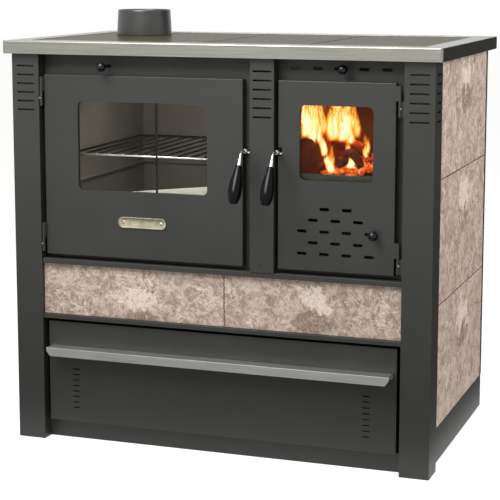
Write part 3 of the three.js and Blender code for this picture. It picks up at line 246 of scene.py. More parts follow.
def printed_mark(tree, place, centre, size, ragged):
    """1 inside a ragged printed mark about a centre, in mm, and 0 outside it."""
    scale = [per(length) for length in size]
    moved = add_node(tree, "Mapping", {
        "Vector": place, "Scale": scale,
        "Location": [-c * MM * k - ragged / 2 for c, k in zip(centre, scale)],
    })
    noise = add_node(tree, "TexNoise", {"Vector": place, "Scale": per(30), "Detail": 9, "Roughness": 0.68})
    inputs = {0: noise.outputs["Color"], 1: (ragged, ragged, ragged), 2: moved}
    torn = add_node(tree, "VectorMath", inputs, operation="MULTIPLY_ADD")
    reach = add_node(tree, "VectorMath", {0: torn}, operation="LENGTH")
    return add_node(tree, "ValToRGB", {"Fac": reach}, [(0.32, 1.0), (0.41, 0.0)])


def wandering_veins(tree, place, size, width, at):
    """Thin lines that wander where a soft noise passes through its middle."""
    _, noise = cloudy(tree, place, size, detail=3, twist=0.8, at=at)
    return add_node(tree, "ValToRGB", {"Fac": noise}, [(0.5 - width, 0.0), (0.5, 1.0), (0.5 + width, 0.0)])


# Size in mm, width, shift and colour of each set of veins.
VEINS = ((42, 0.014, 0.0, "#e6d8cd"), (22, 0.016, 0.7, "#dccbc0"), (33, 0.012, 1.3, "#75604f"))


def stone_glaze(name, at, mark, mark_size, dark_drop):
    """Glazed tile with a printed weathered stone: warm grey-brown with pale and brown blotches,
    fine pale veins, a fine grain of specks, and one pale mark over a brown one."""
    material, tree, shader, place = new_material(
        name, IOR=1.5, Specular_IOR_Level=0.35, Coat_Weight=0.1, Coat_Roughness=0.25,
    )
    turned_at = (at[1] + 0.4, at[2], at[0])
    broad, _ = cloudy(
        tree, place, 62, "#8b7568", "#baa294", detail=9, rough=0.68, twist=0.7, at=at, span=0.1,
    )
    patch, _ = cloudy(tree, place, 30, detail=9, rough=0.7, twist=1.4, at=turned_at, span=0.05)
    patch = add_node(tree, "Mix", {FACTOR: patch, UNDER: "#7f6657", OVER: "#dac5b8"}, data_type="RGBA")
    stone = add_node(tree, "Mix", {FACTOR: 0.5, UNDER: broad, OVER: patch}, data_type="RGBA")
    # Layers of the print, lowest first: where it shows, what thins it there, and its colour.
    low, low_size = Vector(mark), Vector(mark_size)
    low.z -= dark_drop
    low_size.z *= 0.8
    layers = [
        (printed_mark(tree, place, low, low_size, 1.0), "#f0f0f0", "#7b5f50"),
        (printed_mark(tree, place, mark, mark_size, 2.2), "#f0f0f0", "#e2d1c6"),
    ]
    broken, _ = cloudy(tree, place, 70, 0.3, 1.0, detail=2, at=turned_at, span=0.08)
    for size, width, shift, tone in VEINS:
        line = wandering_veins(tree, place, size, width, (at[0] + shift, at[1], at[2]))
        layers.append((line, broken, tone))
    for shown, thinned, tone in layers:
        inputs = {FACTOR: 1.0, UNDER: shown, OVER: thinned}
        cover = add_node(tree, "Mix", inputs, data_type="RGBA", blend_type="MULTIPLY")
        stone = add_node(tree, "Mix", {FACTOR: cover, UNDER: stone, OVER: tone}, data_type="RGBA")
    # The print's specks are under 1 mm; they are drawn at 4 mm so that they show.
    speck, grain = cloudy(tree, place, 4, detail=4, rough=0.8, at=at, span=0.1)
    speck = add_node(tree, "Mix", {FACTOR: speck, UNDER: "#65503f", OVER: "#f2e6dc"}, data_type="RGBA")
    stone = add_node(tree, "Mix", {FACTOR: 0.2, UNDER: stone, OVER: speck}, data_type="RGBA")
    rough, _ = cloudy(tree, place, 15, 0.36, 0.48, detail=3)
    bump = add_node(tree, "Bump", {"Height": grain, "Strength": 0.15, "Distance": 0.1 * MM})
    feed(tree, shader, {"Base Color": stone, "Roughness": rough, "Normal": bump})
    return material


def window_glass():
    """Ceramic stove glass: clear, with a faint grey cast. Its infrared coating takes the mirror off
    the pane, so it has a low index here."""
    material, tree, shader, place = new_material(
        "ceramic_stove_glass", Base_Color="#f4f1ea", IOR=1.12, Transmission_Weight=1.0,
    )
    _, haze = cloudy(tree, place, 60, detail=2)
    rough = add_node(tree, "MapRange", {"Value": haze, "To Min": 0.0, "To Max": 0.03})
    feed(tree, shader, {"Roughness": rough})
    return material


glass = window_glass()

# ---- Modelling tools ----


def only(piece):
    """Selects one piece alone and makes it active."""
    bpy.ops.object.select_all(action="DESELECT")
    piece.select_set(True)
    bpy.context.view_layer.objects.active = piece
    return piece


@contextmanager
def editing(piece):
    """Edit mode on one piece, with all of it selected at the start."""
    only(piece)
    bpy.ops.object.mode_set(mode="EDIT")
    bpy.ops.mesh.select_all(action="SELECT")
    yield
    bpy.ops.object.mode_set(mode="OBJECT")


def added(name, primitive, **values):
    """A new primitive, the only thing selected, under its own name."""
    bpy.ops.object.select_all(action="DESELECT")
    primitive(**values)
    return named(name)


def named(name):
    """The piece that the last operator added, under its own name."""
    piece = bpy.context.object
    piece.name = name
    piece.data.name = name
    return piece


def pick(piece, kind, test):
    """In edit mode, selects the faces, edges or corners that pass a test."""
    bpy.ops.mesh.select_mode(type=kind)
    bpy.ops.mesh.select_all(action="DESELECT")
    mesh = bmesh.from_edit_mesh(piece.data)
    for item in {"FACE": mesh.faces, "EDGE": mesh.edges, "VERT": mesh.verts}[kind]:
        if test(item):
            item.select_set(True)
    mesh.select_flush_mode()
    bmesh.update_edit_mesh(piece.data)


def settle(piece, place=None):
    """Puts the piece where it belongs and leaves its object at the origin."""
    only(piece)
    if place is not None:
        piece.matrix_world = place @ piece.matrix_world
        bpy.context.view_layer.update()
    bpy.ops.object.transform_apply(location=True, rotation=True, scale=True)
    return piece


def fit(piece, body, material, replaces=(), smooth=40):
    """Finishes a piece: its material, its smoothing and the body that carries it."""
    piece.data.materials.clear()
    piece.data.materials.append(material)
    only(piece)
    bpy.ops.object.shade_smooth_by_angle(angle=math.radians(smooth))
    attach(piece, body)
    if replaces:
        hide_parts(*replaces)
    return piece


def block(name, low, high, radius=0.5, steps=2):
    """A block between two corners in mm, with its edges rounded."""
    low, high = Vector(low) * MM, Vector(high) * MM
    cube = bpy.ops.mesh.primitive_cube_add
    piece = added(name, cube, size=1, location=(low + high) / 2, scale=high - low)
    if radius:
        with editing(piece):
            bpy.ops.mesh.bevel(offset=radius * MM, segments=steps, affect="EDGES")
    return settle(piece)


def turned(name, profile, sides=40, place=None, ring=False):
    """A turned piece, drawn up ring by ring: the profile holds radius and height in mm.
    A ring has its first and last rim at the same height, and is open in the middle."""
    radius, height = profile[0]
    disc = {"vertices": sides, "radius": radius * MM, "fill_type": "NGON", "location": UP * height * MM}
    piece = added(name, bpy.ops.mesh.primitive_circle_add, **disc)
    with editing(piece):
        bpy.ops.mesh.select_mode(type="FACE")
        for next_radius, next_height in profile[1:]:
            rise = UP * (next_height - height) * MM
            bpy.ops.mesh.extrude_region_move(TRANSFORM_OT_translate={"value": rise})
            ratio = next_radius / radius
            bpy.ops.transform.resize(value=(ratio, ratio, 1))
            radius, height = next_radius, next_height
        if ring:
            pick(piece, "FACE", lambda face: len(face.verts) == sides)
            bpy.ops.mesh.delete(type="FACE")
            pick(piece, "EDGE", lambda edge: edge.is_boundary)
            bpy.ops.mesh.bridge_edge_loops()
        bpy.ops.mesh.select_all(action="SELECT")
        bpy.ops.mesh.normals_make_consistent(inside=False)
    return settle(piece, place)


def copied(source, name):
    """A copy of a piece with its own mesh."""
    piece = bpy.data.objects.new(name, source.data.copy())
    piece.data.name = name
    bpy.context.scene.collection.objects.link(piece)
    return piece


def from_node(node, name):
    """A copy of a CAD node, its loose triangles merged and its flat faces made whole."""
    piece = copied(nodes[node], name)
    with editing(piece):
        bpy.ops.mesh.remove_doubles(threshold=0.02 * MM)
        bpy.ops.mesh.dissolve_limited(angle_limit=math.radians(1))
    return piece


def joined(name, pieces):
    """Several meshes as one piece."""
    bpy.ops.object.select_all(action="DESELECT")
    for piece in pieces:
        piece.select_set(True)
    bpy.context.view_layer.objects.active = pieces[0]
    bpy.ops.object.join()
    return named(name)


def tube(name, points, radius):
    """A round bar along points in mm, with a smooth run and closed ends."""
    bar = added(name, bpy.ops.curve.primitive_bezier_curve_add, location=(0, 0, 0))
    spline = bar.data.splines[0]
    spline.bezier_points.add(len(points) - 2)
    for knot, point in zip(spline.bezier_points, points):
        knot.co = Vector(point) * MM
        knot.handle_left_type = knot.handle_right_type = "AUTO"
    bar.data.resolution_u = 8
    bar.data.bevel_depth = radius * MM
    bar.data.bevel_resolution = 3
    bar.data.use_fill_caps = True
    bpy.ops.object.convert(target="MESH")
    piece = named(name)
    with editing(piece):
        bpy.ops.mesh.remove_doubles(threshold=0.01 * MM)
        bpy.ops.mesh.normals_make_consistent(inside=False)
    return settle(piece)


def towards(point, direction):
    """The turn and place that send a piece's up axis along a direction from a point in mm."""
    turn = Vector(direction).to_track_quat("Z", "Y").to_matrix().to_4x4()
    return Matrix.Translation(Vector(point) * MM) @ turn


def level_flats(piece):
    """Shades wide flat faces truly flat beside their rounded edges."""
    level = piece.modifiers.new("levelled", "WEIGHTED_NORMAL")
    level.weight = 100
    level.keep_sharp = True


def dress(names, material, radius):
    """CAD nodes keep their shape: triangles merged, flats made whole and edges eased as they show."""
    for name in names:
        node = nodes[name]
        for slot in node.material_slots:
            slot.material = material
        weld = node.modifiers.new("merged", "WELD")
        weld.merge_threshold = 0.02 * MM
        flats = node.modifiers.new("flats", "DECIMATE")
        flats.decimate_type = "DISSOLVE"
        flats.angle_limit = math.radians(1)
        if radius:
            ease = node.modifiers.new("eased", "BEVEL")
            ease.width = radius * MM
            ease.segments = 2
            ease.limit_method = "ANGLE"
            ease.angle_limit = math.radians(35)
        level_flats(node)


# ---- CAD nodes that keep their shape ----

dress(["post_front_left", "post_front_right", "post_centre", "back_panel"], paint, 0.8)
dress(["side_panel_left", "side_panel_right", "ledge_rail", "lower_rail", "plinth"], paint, 0.8)
# The recessed plates take the paler copy of the paint, painted lighter against their shade.
dress(["oven_front_plate", "firebox_front_plate", "mid_deck", "drawer_bay_floor"], paint_lightened_in_shade, 0.4)
dress(["drawer_front", "drawer_tray"], paint, 0.9)
dress(["hob_bearer"], raw_steel, 0.5)
dress(["oven_box", "smoke_baffle"], oven_enamel, 0.5)
dress(["oven_door_frame", "firebox_door_frame", "firebox_casing"], raw_steel, 0.4)
# The hearth plate and ash pan take the paler copy of the paint, painted lighter against their shade.
dress(["hearth_plate", "ash_pan"], paint_lightened_in_shade, 0.8)
dress(["grate"], grate_iron, 1.2)
dress(["firebrick_left", "firebrick_right", "firebrick_rear"], firebrick, 1.5)
dress(["oven_door_glass", "firebox_door_glass"], glass, 0)
dress(["hob_plate_left", "hob_plate_centre", "hob_plate_right"], hob_iron, 0.8)
dress(["drawer_handle"], aluminium, 0.6)

# Each tile carries the print's pale mark at its own place: centre, size and drop of the brown mark.
TILE_EDGE = 0.3
FRONT_MARKS = {"front_tile_left": (-170, FACE, 318), "front_tile_right": (206, FACE, 342)}
FRONT_MARK_SIZE, FRONT_MARK_DROP = (120, 60, 72), 46
SIDE_MARK_Y, SIDE_MARK_BELOW_TOP = 75, 58
SIDE_MARK_SIZE, SIDE_MARK_DROP = (60, 150, 92), 50
for number, (tile, mark) in enumerate(FRONT_MARKS.items()):
    shift = (0.37 * number, 0.21, 0.53)
    glaze = stone_glaze("glazed_stone_" + tile, shift, mark, FRONT_MARK_SIZE, FRONT_MARK_DROP)
    dress([tile], glaze, TILE_EDGE)
for side in ("left", "right"):
    for row in (1, 2, 3):
        tile = f"side_tile_{side}_{row}"
        low, high = box_mm(tile)
        mark = (high.x if side == "right" else low.x, SIDE_MARK_Y, high.z - SIDE_MARK_BELOW_TOP)
        shift = (0.11 * row, 0.29 * row, 0.17 * row)
        glaze = stone_glaze("glazed_stone_" + tile, shift, mark, SIDE_MARK_SIZE, SIDE_MARK_DROP)
        dress([tile], glaze, TILE_EDGE)

# ---- Pieces modelled in detail ----


def near(value, target):
    """True where a length in metres is within 0.06 mm of a target in mm."""
    return abs(value / MM - target) < 0.06


def ease_edges(piece, test, radius, steps=3):
    """Rounds the edges that pass a test, in mm."""
    with editing(piece):
        pick(piece, "EDGE", test)
        bpy.ops.mesh.bevel(offset=radius * MM, segments=steps, affect="EDGES")


def ease_sharp_edges(piece, radius, degrees, steps=2):
    """Rounds every edge that is sharper than an angle."""
    limit = math.radians(degrees)
    ease_edges(piece, lambda edge: edge.is_manifold and edge.calc_face_angle() > limit, radius, steps)


# Stainless surround: folded sheet with soft outer corners and a rounded front edge.
surround = from_node("top_frame", "hob_surround")
frame_low, frame_high = box_mm("top_frame")
CORNER_RADIUS, TOP_RADIUS, RIM = 6, 2.6, 9


def at_outer_corner(vert):
    at_side = near(vert.co.x, frame_low.x) or near(vert.co.x, frame_high.x)
    return at_side and (near(vert.co.y, frame_low.y) or near(vert.co.y, frame_high.y))


def upright_corner(edge):
    first, last = edge.verts
    return at_outer_corner(first) and at_outer_corner(last) and abs(first.co.z - last.co.z) > 5 * MM


def outer_top(edge):
    """The front and side edges of the top; the rear one stays crisp."""
    rim = all(
        vert.co.x < (frame_low.x + RIM) * MM or vert.co.x > (frame_high.x - RIM) * MM
        or vert.co.y < (frame_low.y + RIM) * MM
        for vert in edge.verts
    )
    top = all(near(vert.co.z, frame_high.z) for vert in edge.verts)
    return rim and top and edge.is_manifold and edge.calc_face_angle() > 1


ease_edges(surround, upright_corner, CORNER_RADIUS, 4)
ease_edges(surround, outer_top, TOP_RADIUS)
ease_sharp_edges(surround, 0.5, 60)
fit(surround, "root", stainless, ["top_frame"])
level_flats(surround)

# Flue spigot: a turned collar, slightly tapered, with a rolled rim and an open bore.
collar_low, collar_high = box_mm("flue_collar")
flue_foot = (collar_low + collar_high) / 2
flue_foot.z = box_mm("hob_plate_left")[1].z
spigot = turned("flue_spigot", [
    (58, -7), (58, 0.3), (60.8, 0.3), (61.5, 0.9), (61.5, 3), (61.2, 12), (60.5, 27), (59.6, 42),
    (59.1, 50), (59.0, 53.5), (58.7, 55.6), (58.0, 56.7), (57.0, 57), (56.2, 56.7), (55.4, 55.6),
    (55, 54), (55, -7),
], 72, Matrix.Translation(flue_foot * MM), ring=True)
fit(spigot, "root", black_enamel, ["flue_collar"], 35)

# Doors: folded skins whose outer bend has a radius, with the window and the slots left crisp.
FOLD_RADIUS = 1.8
for side in ("oven", "firebox"):
    node = side + "_door_panel"
    skin = from_node(node, side + "_door_skin")
    low, high = box_mm(node)
    pane_low, pane_high = box_mm(side + "_door_glass")
    free_edge = high.x if side == "oven" else low.x
    hinge_edge = pane_low.x + pane_high.x - free_edge

    def on_rim(edge, ends=(free_edge, hinge_edge), low=low, high=high):
        """On the skin's outline, and on its face or along its depth."""
        front = all(near(vert.co.y, FACE) for vert in edge.verts)
        sides = any(all(near(vert.co.x, end) for vert in edge.verts) for end in ends)
        rows = any(all(near(vert.co.z, end) for vert in edge.verts) for end in (low.z, high.z))
        return (front and (sides or rows)) or (sides and rows)

    ease_edges(skin, on_rim, FOLD_RADIUS)
    fit(skin, side + "_door", paint, [node], 32)
    level_flats(skin)

# Fixed hinge halves, each with a bright rivet low on its face and outwards of its axis.
RIVET_OUTWARD, RIVET_FORWARD, RIVET_RISE = 2.2, 8.2, 16
for side, outward in (("oven", -1), ("firebox", 1)):
    rivet_x = joint_mm(side + "_door_hinge").x + RIVET_OUTWARD * outward
    for place in (side + "_upper", side + "_lower"):
        node = "hinge_" + place
        barrel = from_node(node, "hinge_barrel_" + place)
        fit(barrel, "root", paint, [node], 32)
        rivet_at = (rivet_x, FACE - RIVET_FORWARD, box_mm(node)[0].z + RIVET_RISE)
        profile = [(1.5, -0.6), (1.5, 0.3), (1.1, 0.8), (0.5, 1.0)]
        rivet = turned("hinge_rivet_" + place, profile, 16, towards(rivet_at, FRONT))
        fit(rivet, "root", zinc)


def rounded_rod(name, radius, start, end):
    """A straight rod between two points in mm, with chamfered ends."""
    start, end = Vector(start), Vector(end)
    length = (end - start).length
    ease = radius * 0.4
    profile = [(radius - ease, 0), (radius, ease), (radius, length - ease), (radius - ease, length)]
    return turned(name, profile, 14, towards(start, end - start))


# Oven rack: two thick wires under thirteen thinner rods. The rods and the rear wire are drawn in darkened
# chrome as painted shade, and the front wire and the rods' front tips in bright aluminised sheet as a
# painted highlight.
rack_low, rack_high = box_mm("oven_rack")
WIRE, ROD, RODS, RACK_INSET = 1.9, 1.7, 13, 0.6
TIP, TIP_OVERLAP = 8, 5
wire_z, rod_z = rack_low.z + WIRE + 0.2, rack_high.z - ROD
front_wire, rear_wire = (
    rounded_rod("wire", WIRE, (rack_low.x, y, wire_z), (rack_high.x, y, wire_z))
    for y in (rack_low.y + WIRE + RACK_INSET, rack_high.y - WIRE - RACK_INSET)
)
rods, tips = [rear_wire], [front_wire]
first_x, last_x = rack_low.x + WIRE + RACK_INSET, rack_high.x - WIRE - RACK_INSET
for index in range(RODS):
    x = first_x + index * (last_x - first_x) / (RODS - 1)
    rod_start = rack_low.y + TIP - TIP_OVERLAP
    rods.append(rounded_rod("rod", ROD, (x, rod_start, rod_z), (x, rack_high.y, rod_z)))
    tips.append(rounded_rod("tip", ROD, (x, rack_low.y, rod_z), (x, rack_low.y + TIP, rod_z)))
# Rods in darkened chrome as painted shade; the front wire and tips in bright sheet as a painted highlight.
fit(joined("oven_wire_rack", rods), "root", chrome_darkened_as_shade, ["oven_rack"], 50)
fit(joined("oven_rack_front_wire", tips), "root", aluminised, (), 50)

# Ball knobs: a ball on a collared stem that ends in the slide that it moves.
BALL_RADIUS = 9.8


def ball_profile(radius, neck, steps=12):
    """From the ball's front pole back to its neck: radius and height in mm, the ball at height 0."""
    first, last = 0.12, math.pi - math.asin(neck / radius)
    angles = [first + (last - first) * i / steps for i in range(steps + 1)]
    return [(radius * math.sin(a), -radius * math.cos(a)) for a in angles]


def knob_with_stem(name, ball_at, stem, end_y):
    """A ball knob whose stem runs to the rear as far as end_y."""
    collar, collar_end = stem + 2, BALL_RADIUS + 2
    profile = ball_profile(BALL_RADIUS, collar) + [
        (collar, collar_end - 0.6), (collar - 0.5, collar_end), (stem, collar_end),
        (stem, end_y - ball_at[1]),
    ]
    return turned(name, profile, 32, towards(ball_at, REAR))


def bare_plate(node, name, front_y):
    """The slide of a CAD node without its knob and stem, closed where the stem was."""
    plate = from_node(node, name)
    with editing(plate):
        pick(plate, "FACE", lambda face: face.calc_center_median().y < (front_y - 0.05) * MM)
        bpy.ops.mesh.delete(type="FACE")
        pick(plate, "EDGE", lambda edge: edge.is_boundary)
        bpy.ops.mesh.fill_holes(sides=0)
    return plate


# Node, body, the plate's front, the ball's centre and the stem's radius of each slide.
SLIDES = (
    ("header_air_slider", "secondary_air_slide", -192.3, (263.7, -218.6, 804.0), 2.5),
    ("door_air_slider", "primary_air_slide", -213.3, (331.55, -229.6, 482.2), 2.5),
    ("damper_slide", "flue_damper", 24.4, (-242.0, -235.6, 799.0), 3.0),
)
for node, body, front_y, ball_at, stem in SLIDES:
    plate = bare_plate(node, node + "_plate", front_y)
    # Each slide is dead black: soot, and painted shade behind its slots.
    fit(plate, body, soot_and_shade_steel, [node])
    knob = knob_with_stem(node + "_knob", ball_at, stem, front_y + 0.6)
    fit(knob, body, black_gloss)

# Door handles: a chrome ball, a bent arm, a ferrule, and a turned grip that leans outwards.
# Places are from the pivot on the door's face.
LEAN = math.radians(26.6)
DOWN = Vector((0, -math.sin(LEAN), -math.cos(LEAN)))
GRIP_TOP, BALL_AT = Vector((0, -53, -25.5)), Vector((0, -17, 0))
BALL, SHAFT, SHAFT_LENGTH, ARM = 5.4, 3.5, 36.4, 2.7
CAM_LOW, CAM_HIGH = Vector((-3.5, 5, -7)), Vector((3.5, 9, 0))
FERRULE_PROFILE = [(2.6, 0), (3.1, 0.3), (3.5, 1.2), (4.3, 8), (4.9, 15.4), (5.1, 16.2), (4.9, 16.7)]
GRIP_PROFILE = [
    (6.4, 0), (7.6, 6), (9.6, 16), (11.6, 28), (12.9, 38), (13.5, 48), (13.2, 57), (12.0, 66),
    (9.8, 73), (8.6, 76), (7.6, 77),
]


def smooth_profile(knots, steps=3):
    """More rings between the knots of a profile, on a smooth curve through them."""
    points = [Vector(knot) for knot in knots]
    ends = [points[0] * 2 - points[1], *points, points[-1] * 2 - points[-2]]
    rings = []
    for a, b, c, d in zip(ends, ends[1:], ends[2:], ends[3:]):
        for t in (i / steps for i in range(steps)):
            rings.append(0.5 * (
                2 * b + (c - a) * t + (2 * a - 5 * b + 4 * c - d) * t * t
                + (3 * b - a - 3 * c + d) * t ** 3
            ))
    return [tuple(ring) for ring in rings + [points[-1]]]


for side in ("oven", "firebox"):
    axis = joint_mm(side + "_handle_turn")
    pivot = Vector((axis.x, FACE, axis.z))
    profile = ball_profile(BALL, SHAFT) + [(SHAFT, SHAFT_LENGTH)]
    shaft = turned("shaft", profile, 28, towards(pivot + BALL_AT, REAR))
    neck = GRIP_TOP - DOWN * 8.5
    crest = BALL_AT.lerp(neck, 0.45)
    crest.z = 1.5
    bend = BALL_AT.lerp(neck, 0.85)
    bend.z = neck.z * 0.32
    arm = tube("arm", [pivot + point for point in (BALL_AT, crest, bend, neck)], ARM)
    ferrule = turned("ferrule", FERRULE_PROFILE, 32, towards(pivot + GRIP_TOP - DOWN * 17, DOWN))
    cam = block("cam", pivot + CAM_LOW, pivot + CAM_HIGH, 0.6)
    lever = joined(side + "_handle_chrome_lever", [shaft, arm, ferrule, cam])
    fit(lever, side + "_handle", chrome, [side + "_handle_lever"])
    profile = smooth_profile(GRIP_PROFILE)
    grip = turned(side + "_handle_resin_grip", profile, 40, towards(pivot + GRIP_TOP, DOWN))
    fit(grip, side + "_handle", bakelite, [side + "_handle_grip"], 50)

# Badge: a bare plate with round ends, a raised rim, a sunk field and a stud at each end.
BADGE_RIM, BADGE_SUNK = 2.2, 0.9
STUD_PROFILE = [(3.4, 0), (3.4, 0.4), (3.0, 0.8), (2.0, 1.0)]
badge_low, badge_high = box_mm("badge_plate")
badge_end = (badge_high.z - badge_low.z) / 2
badge = block("badge", badge_low, badge_high, 0)
with editing(badge):
    pick(badge, "EDGE", lambda edge: abs(edge.verts[0].co.y - edge.verts[1].co.y) > 1 * MM)
    bpy.ops.mesh.bevel(offset=(badge_end - 0.4) * MM, segments=10, affect="EDGES")
    pick(badge, "FACE", lambda face: face.normal.y < -0.9)
    bpy.ops.mesh.inset(thickness=BADGE_RIM * MM)
    bpy.ops.mesh.extrude_region_move(TRANSFORM_OT_translate={"value": REAR * BADGE_SUNK * MM})
ease_sharp_edges(badge, 0.35, 60)
studs = [
    turned("stud", STUD_PROFILE, 24, towards((x, badge_low.y + 1, badge_low.z + badge_end), FRONT))
    for x in (badge_low.x + badge_end, badge_high.x - badge_end)
]
fit(joined("bare_badge", [badge, *studs]), "oven_door", nickel, ["badge_plate"], 35)

# Rope seals: soft round edges on the gasket behind each door.
for side in ("oven", "firebox"):
    seal = from_node(side + "_door_gasket", side + "_rope_seal")
    ease_sharp_edges(seal, 1.5, 40, 4)
    fit(seal, side + "_door", rope_seal, [side + "_door_gasket"], 60)

# ---- Small fittings ----

# Liner sheets, 1 mm thick, close the corner posts behind their vents.
LINER_BOTTOM, LINER_INSET = 640, 6
for side in ("left", "right"):
    low, high = box_mm("post_front_" + side)
    front_y, top = low.y + LINER_INSET, high.z - 4
    outer = low.x + LINER_INSET if side == "left" else high.x - LINER_INSET - 1
    liner = joined(f"post_{side}_vent_liner", [
        block("liner_front", (low.x + 3, front_y, LINER_BOTTOM), (high.x - 3, front_y + 1, top), 0.3),
        block("liner_side", (outer, front_y + 0.5, LINER_BOTTOM), (outer + 1, high.y - 3, top), 0.3),
    ])
    # The liners take the paler copy of the paint, painted lighter against their shade.
    fit(liner, "root", paint_lightened_in_shade)

# Painted edge strips hold the side tiles at the rear, and dark fillers close the tiles' joints.
STRIP_WIDTH, STRIP_PAST, STRIP_PROUD = 9, 1.5, 1.1
JOINT_HALF, JOINT_PROUD, JOINT_GAP_HALF = 1.0, 0.15, 0.4
for side, outward in (("left", -1), ("right", 1)):
    corners = [box_mm(f"side_tile_{side}_{row}") for row in (1, 2, 3)]
    bottom, top = corners[0][0].z, corners[-1][1].z
    low, high = corners[0]
    face_x = high.x if outward > 0 else low.x
    start, end = sorted((face_x - 0.2 * outward, face_x + STRIP_PROUD * outward))
    strip_low, strip_high = (start, high.y - STRIP_WIDTH, bottom), (end, high.y + STRIP_PAST, top)
    strip = block(f"side_edge_strip_{side}", strip_low, strip_high, 0.3)
    fit(strip, "root", paint)
    start, end = sorted((face_x - 3 * outward, face_x + JOINT_PROUD * outward))
    fillers = [
        block("filler", (start, low.y + 0.5, z - JOINT_HALF), (end, high.y - 0.5, z + JOINT_HALF), 0.1, 1)
        for z in (tile_high.z + JOINT_GAP_HALF for _, tile_high in corners[:2])
    ]
    fit(joined(f"side_tile_joints_{side}", fillers), "root", paint)
tile_low, tile_high = box_mm("front_tile_left")
joint_x = tile_high.x + JOINT_GAP_HALF
filler = block(
    "front_tile_joint", (joint_x - JOINT_HALF, tile_low.y - JOINT_PROUD, tile_low.z + 0.5),
    (joint_x + JOINT_HALF, tile_low.y + 3, tile_high.z - 0.5), 0.1, 1,
)
fit(filler, "root", paint)

# A screw holds the centre post near its foot.
profile = [(2.2, -0.4), (2.2, 0.3), (1.7, 0.8), (0.8, 1.1)]
post_screw = turned("centre_post_screw", profile, 20, towards((98, POST_FACE, 410), FRONT))
fit(post_screw, "root", raw_steel)

# Pan-head screws hold the back sheet round its edge.
SCREW_PROFILE = [(3.6, -0.5), (3.6, 0.4), (3.2, 1.4), (2.0, 2.1), (0.9, 2.2)]
SCREW_INSET = 14
back_low, back_high = box_mm("back_panel")
edges_x = (back_low.x + SCREW_INSET, back_high.x - SCREW_INSET)
screw_places = [(x, z) for x in edges_x for z in (130, 350, 570, 790)]
screw_places += [(x, z) for x in (-220, 0, 220) for z in (60, 806)]
back_screws = joined("back_sheet_screws", [
    turned("screw", SCREW_PROFILE, 20, towards((x, back_high.y, z), REAR)) for x, z in screw_places
])
fit(back_screws, "root", zinc)

# Bright lip of the door's heat shield, seen low in the oven window, tapering to the left.
glass_high = box_mm("oven_door_glass")[1]
LIP_BOTTOM, LIP_RISE, LIP_LOW_END = 540.5, 20.0, 1.5
LIP_START_X, LIP_END_X = -192.0, -17.0
lip = block(
    "heat_shield_lip", (LIP_START_X, glass_high.y + 0.3, LIP_BOTTOM),
    (LIP_END_X, glass_high.y + 0.9, LIP_BOTTOM + LIP_RISE), 0.15, 1,
)
with editing(lip):
    pick(lip, "VERT", lambda vert: vert.co.x < (LIP_START_X + 5) * MM and vert.co.z > (LIP_BOTTOM + 5) * MM)
    bpy.ops.transform.translate(value=UP * (LIP_LOW_END - LIP_RISE) * MM)
fit(lip, "oven_door", aluminised, (), 30)

# A dark bar behind the oven's glass, and a steel strip that holds the fire's glass at the bottom.
STAY_X, STAY_HALF, STAY_BOTTOM, STAY_TOP = -131.7, 2.3, 536, 733
STRIP_TOP = 596.5
stay = block(
    "oven_glass_stay", (STAY_X - STAY_HALF, glass_high.y + 0.2, STAY_BOTTOM),
    (STAY_X + STAY_HALF, glass_high.y + 0.8, STAY_TOP), 0.15,
)
fit(stay, "oven_door", black_gloss)
fire_low, fire_high = box_mm("firebox_door_glass")
strip = block(
    "fire_glass_strip", (fire_low.x + 3, fire_high.y + 0.2, fire_low.z + 3),
    (fire_high.x - 3, fire_high.y + 3.4, STRIP_TOP), 0.6,
)
fit(strip, "firebox_door", strip_steel)

# ---- The fire ----


def glowing(tree, shader, factor, stops, strength):
    """Lights a surface by a pattern, through a ramp of heat colours."""
    ramp = add_node(tree, "ValToRGB", {"Fac": factor}, stops)
    feed(tree, shader, {"Emission Color": ramp, "Emission Strength": strength})


def charred_wood():
    """Split beech, charred: dark red-brown bark that glows in its cracks."""
    material, tree, shader, place = new_material(
        "charred_beech_log", Specular_IOR_Level=0.15, Roughness=0.85,
    )
    colour, bark = cloudy(tree, place, 11, "#20100b", "#6b2f1b", detail=7, stretch=(1, 0.5, 1))
    _, cracks = cloudy(tree, place, 7, detail=6, rough=0.65, twist=0.8)
    stops = [(0.3, "#140503"), (0.55, "#3c1007"), (0.66, "#a8300c"), (0.75, "#ff8a30")]
    glowing(tree, shader, cracks, stops, 0.55)
    bump = add_node(tree, "Bump", {"Height": bark, "Strength": 0.8, "Distance": 2.0 * MM})
    feed(tree, shader, {"Base Color": colour, "Normal": bump})
    return material


def live_embers():
    """Glowing charcoal: orange-red with a grey ash skin and brighter gaps."""
    material, tree, shader, place = new_material(
        "glowing_charcoal", Specular_IOR_Level=0.1, Roughness=0.9, Base_Color="#2b1a14",
    )
    _, heat = cloudy(tree, place, 13, detail=6, rough=0.6, twist=0.6)
    stops = [(0.3, "#2a0a05"), (0.42, "#a82a10"), (0.52, "#ee5a20"), (0.62, "#ff9a48"), (0.75, "#ffe2a0")]
    glowing(tree, shader, heat, stops, 1.0)
    bump = add_node(tree, "Bump", {"Height": heat, "Strength": 0.6, "Distance": 1.5 * MM})
    feed(tree, shader, {"Normal": bump})
    return material


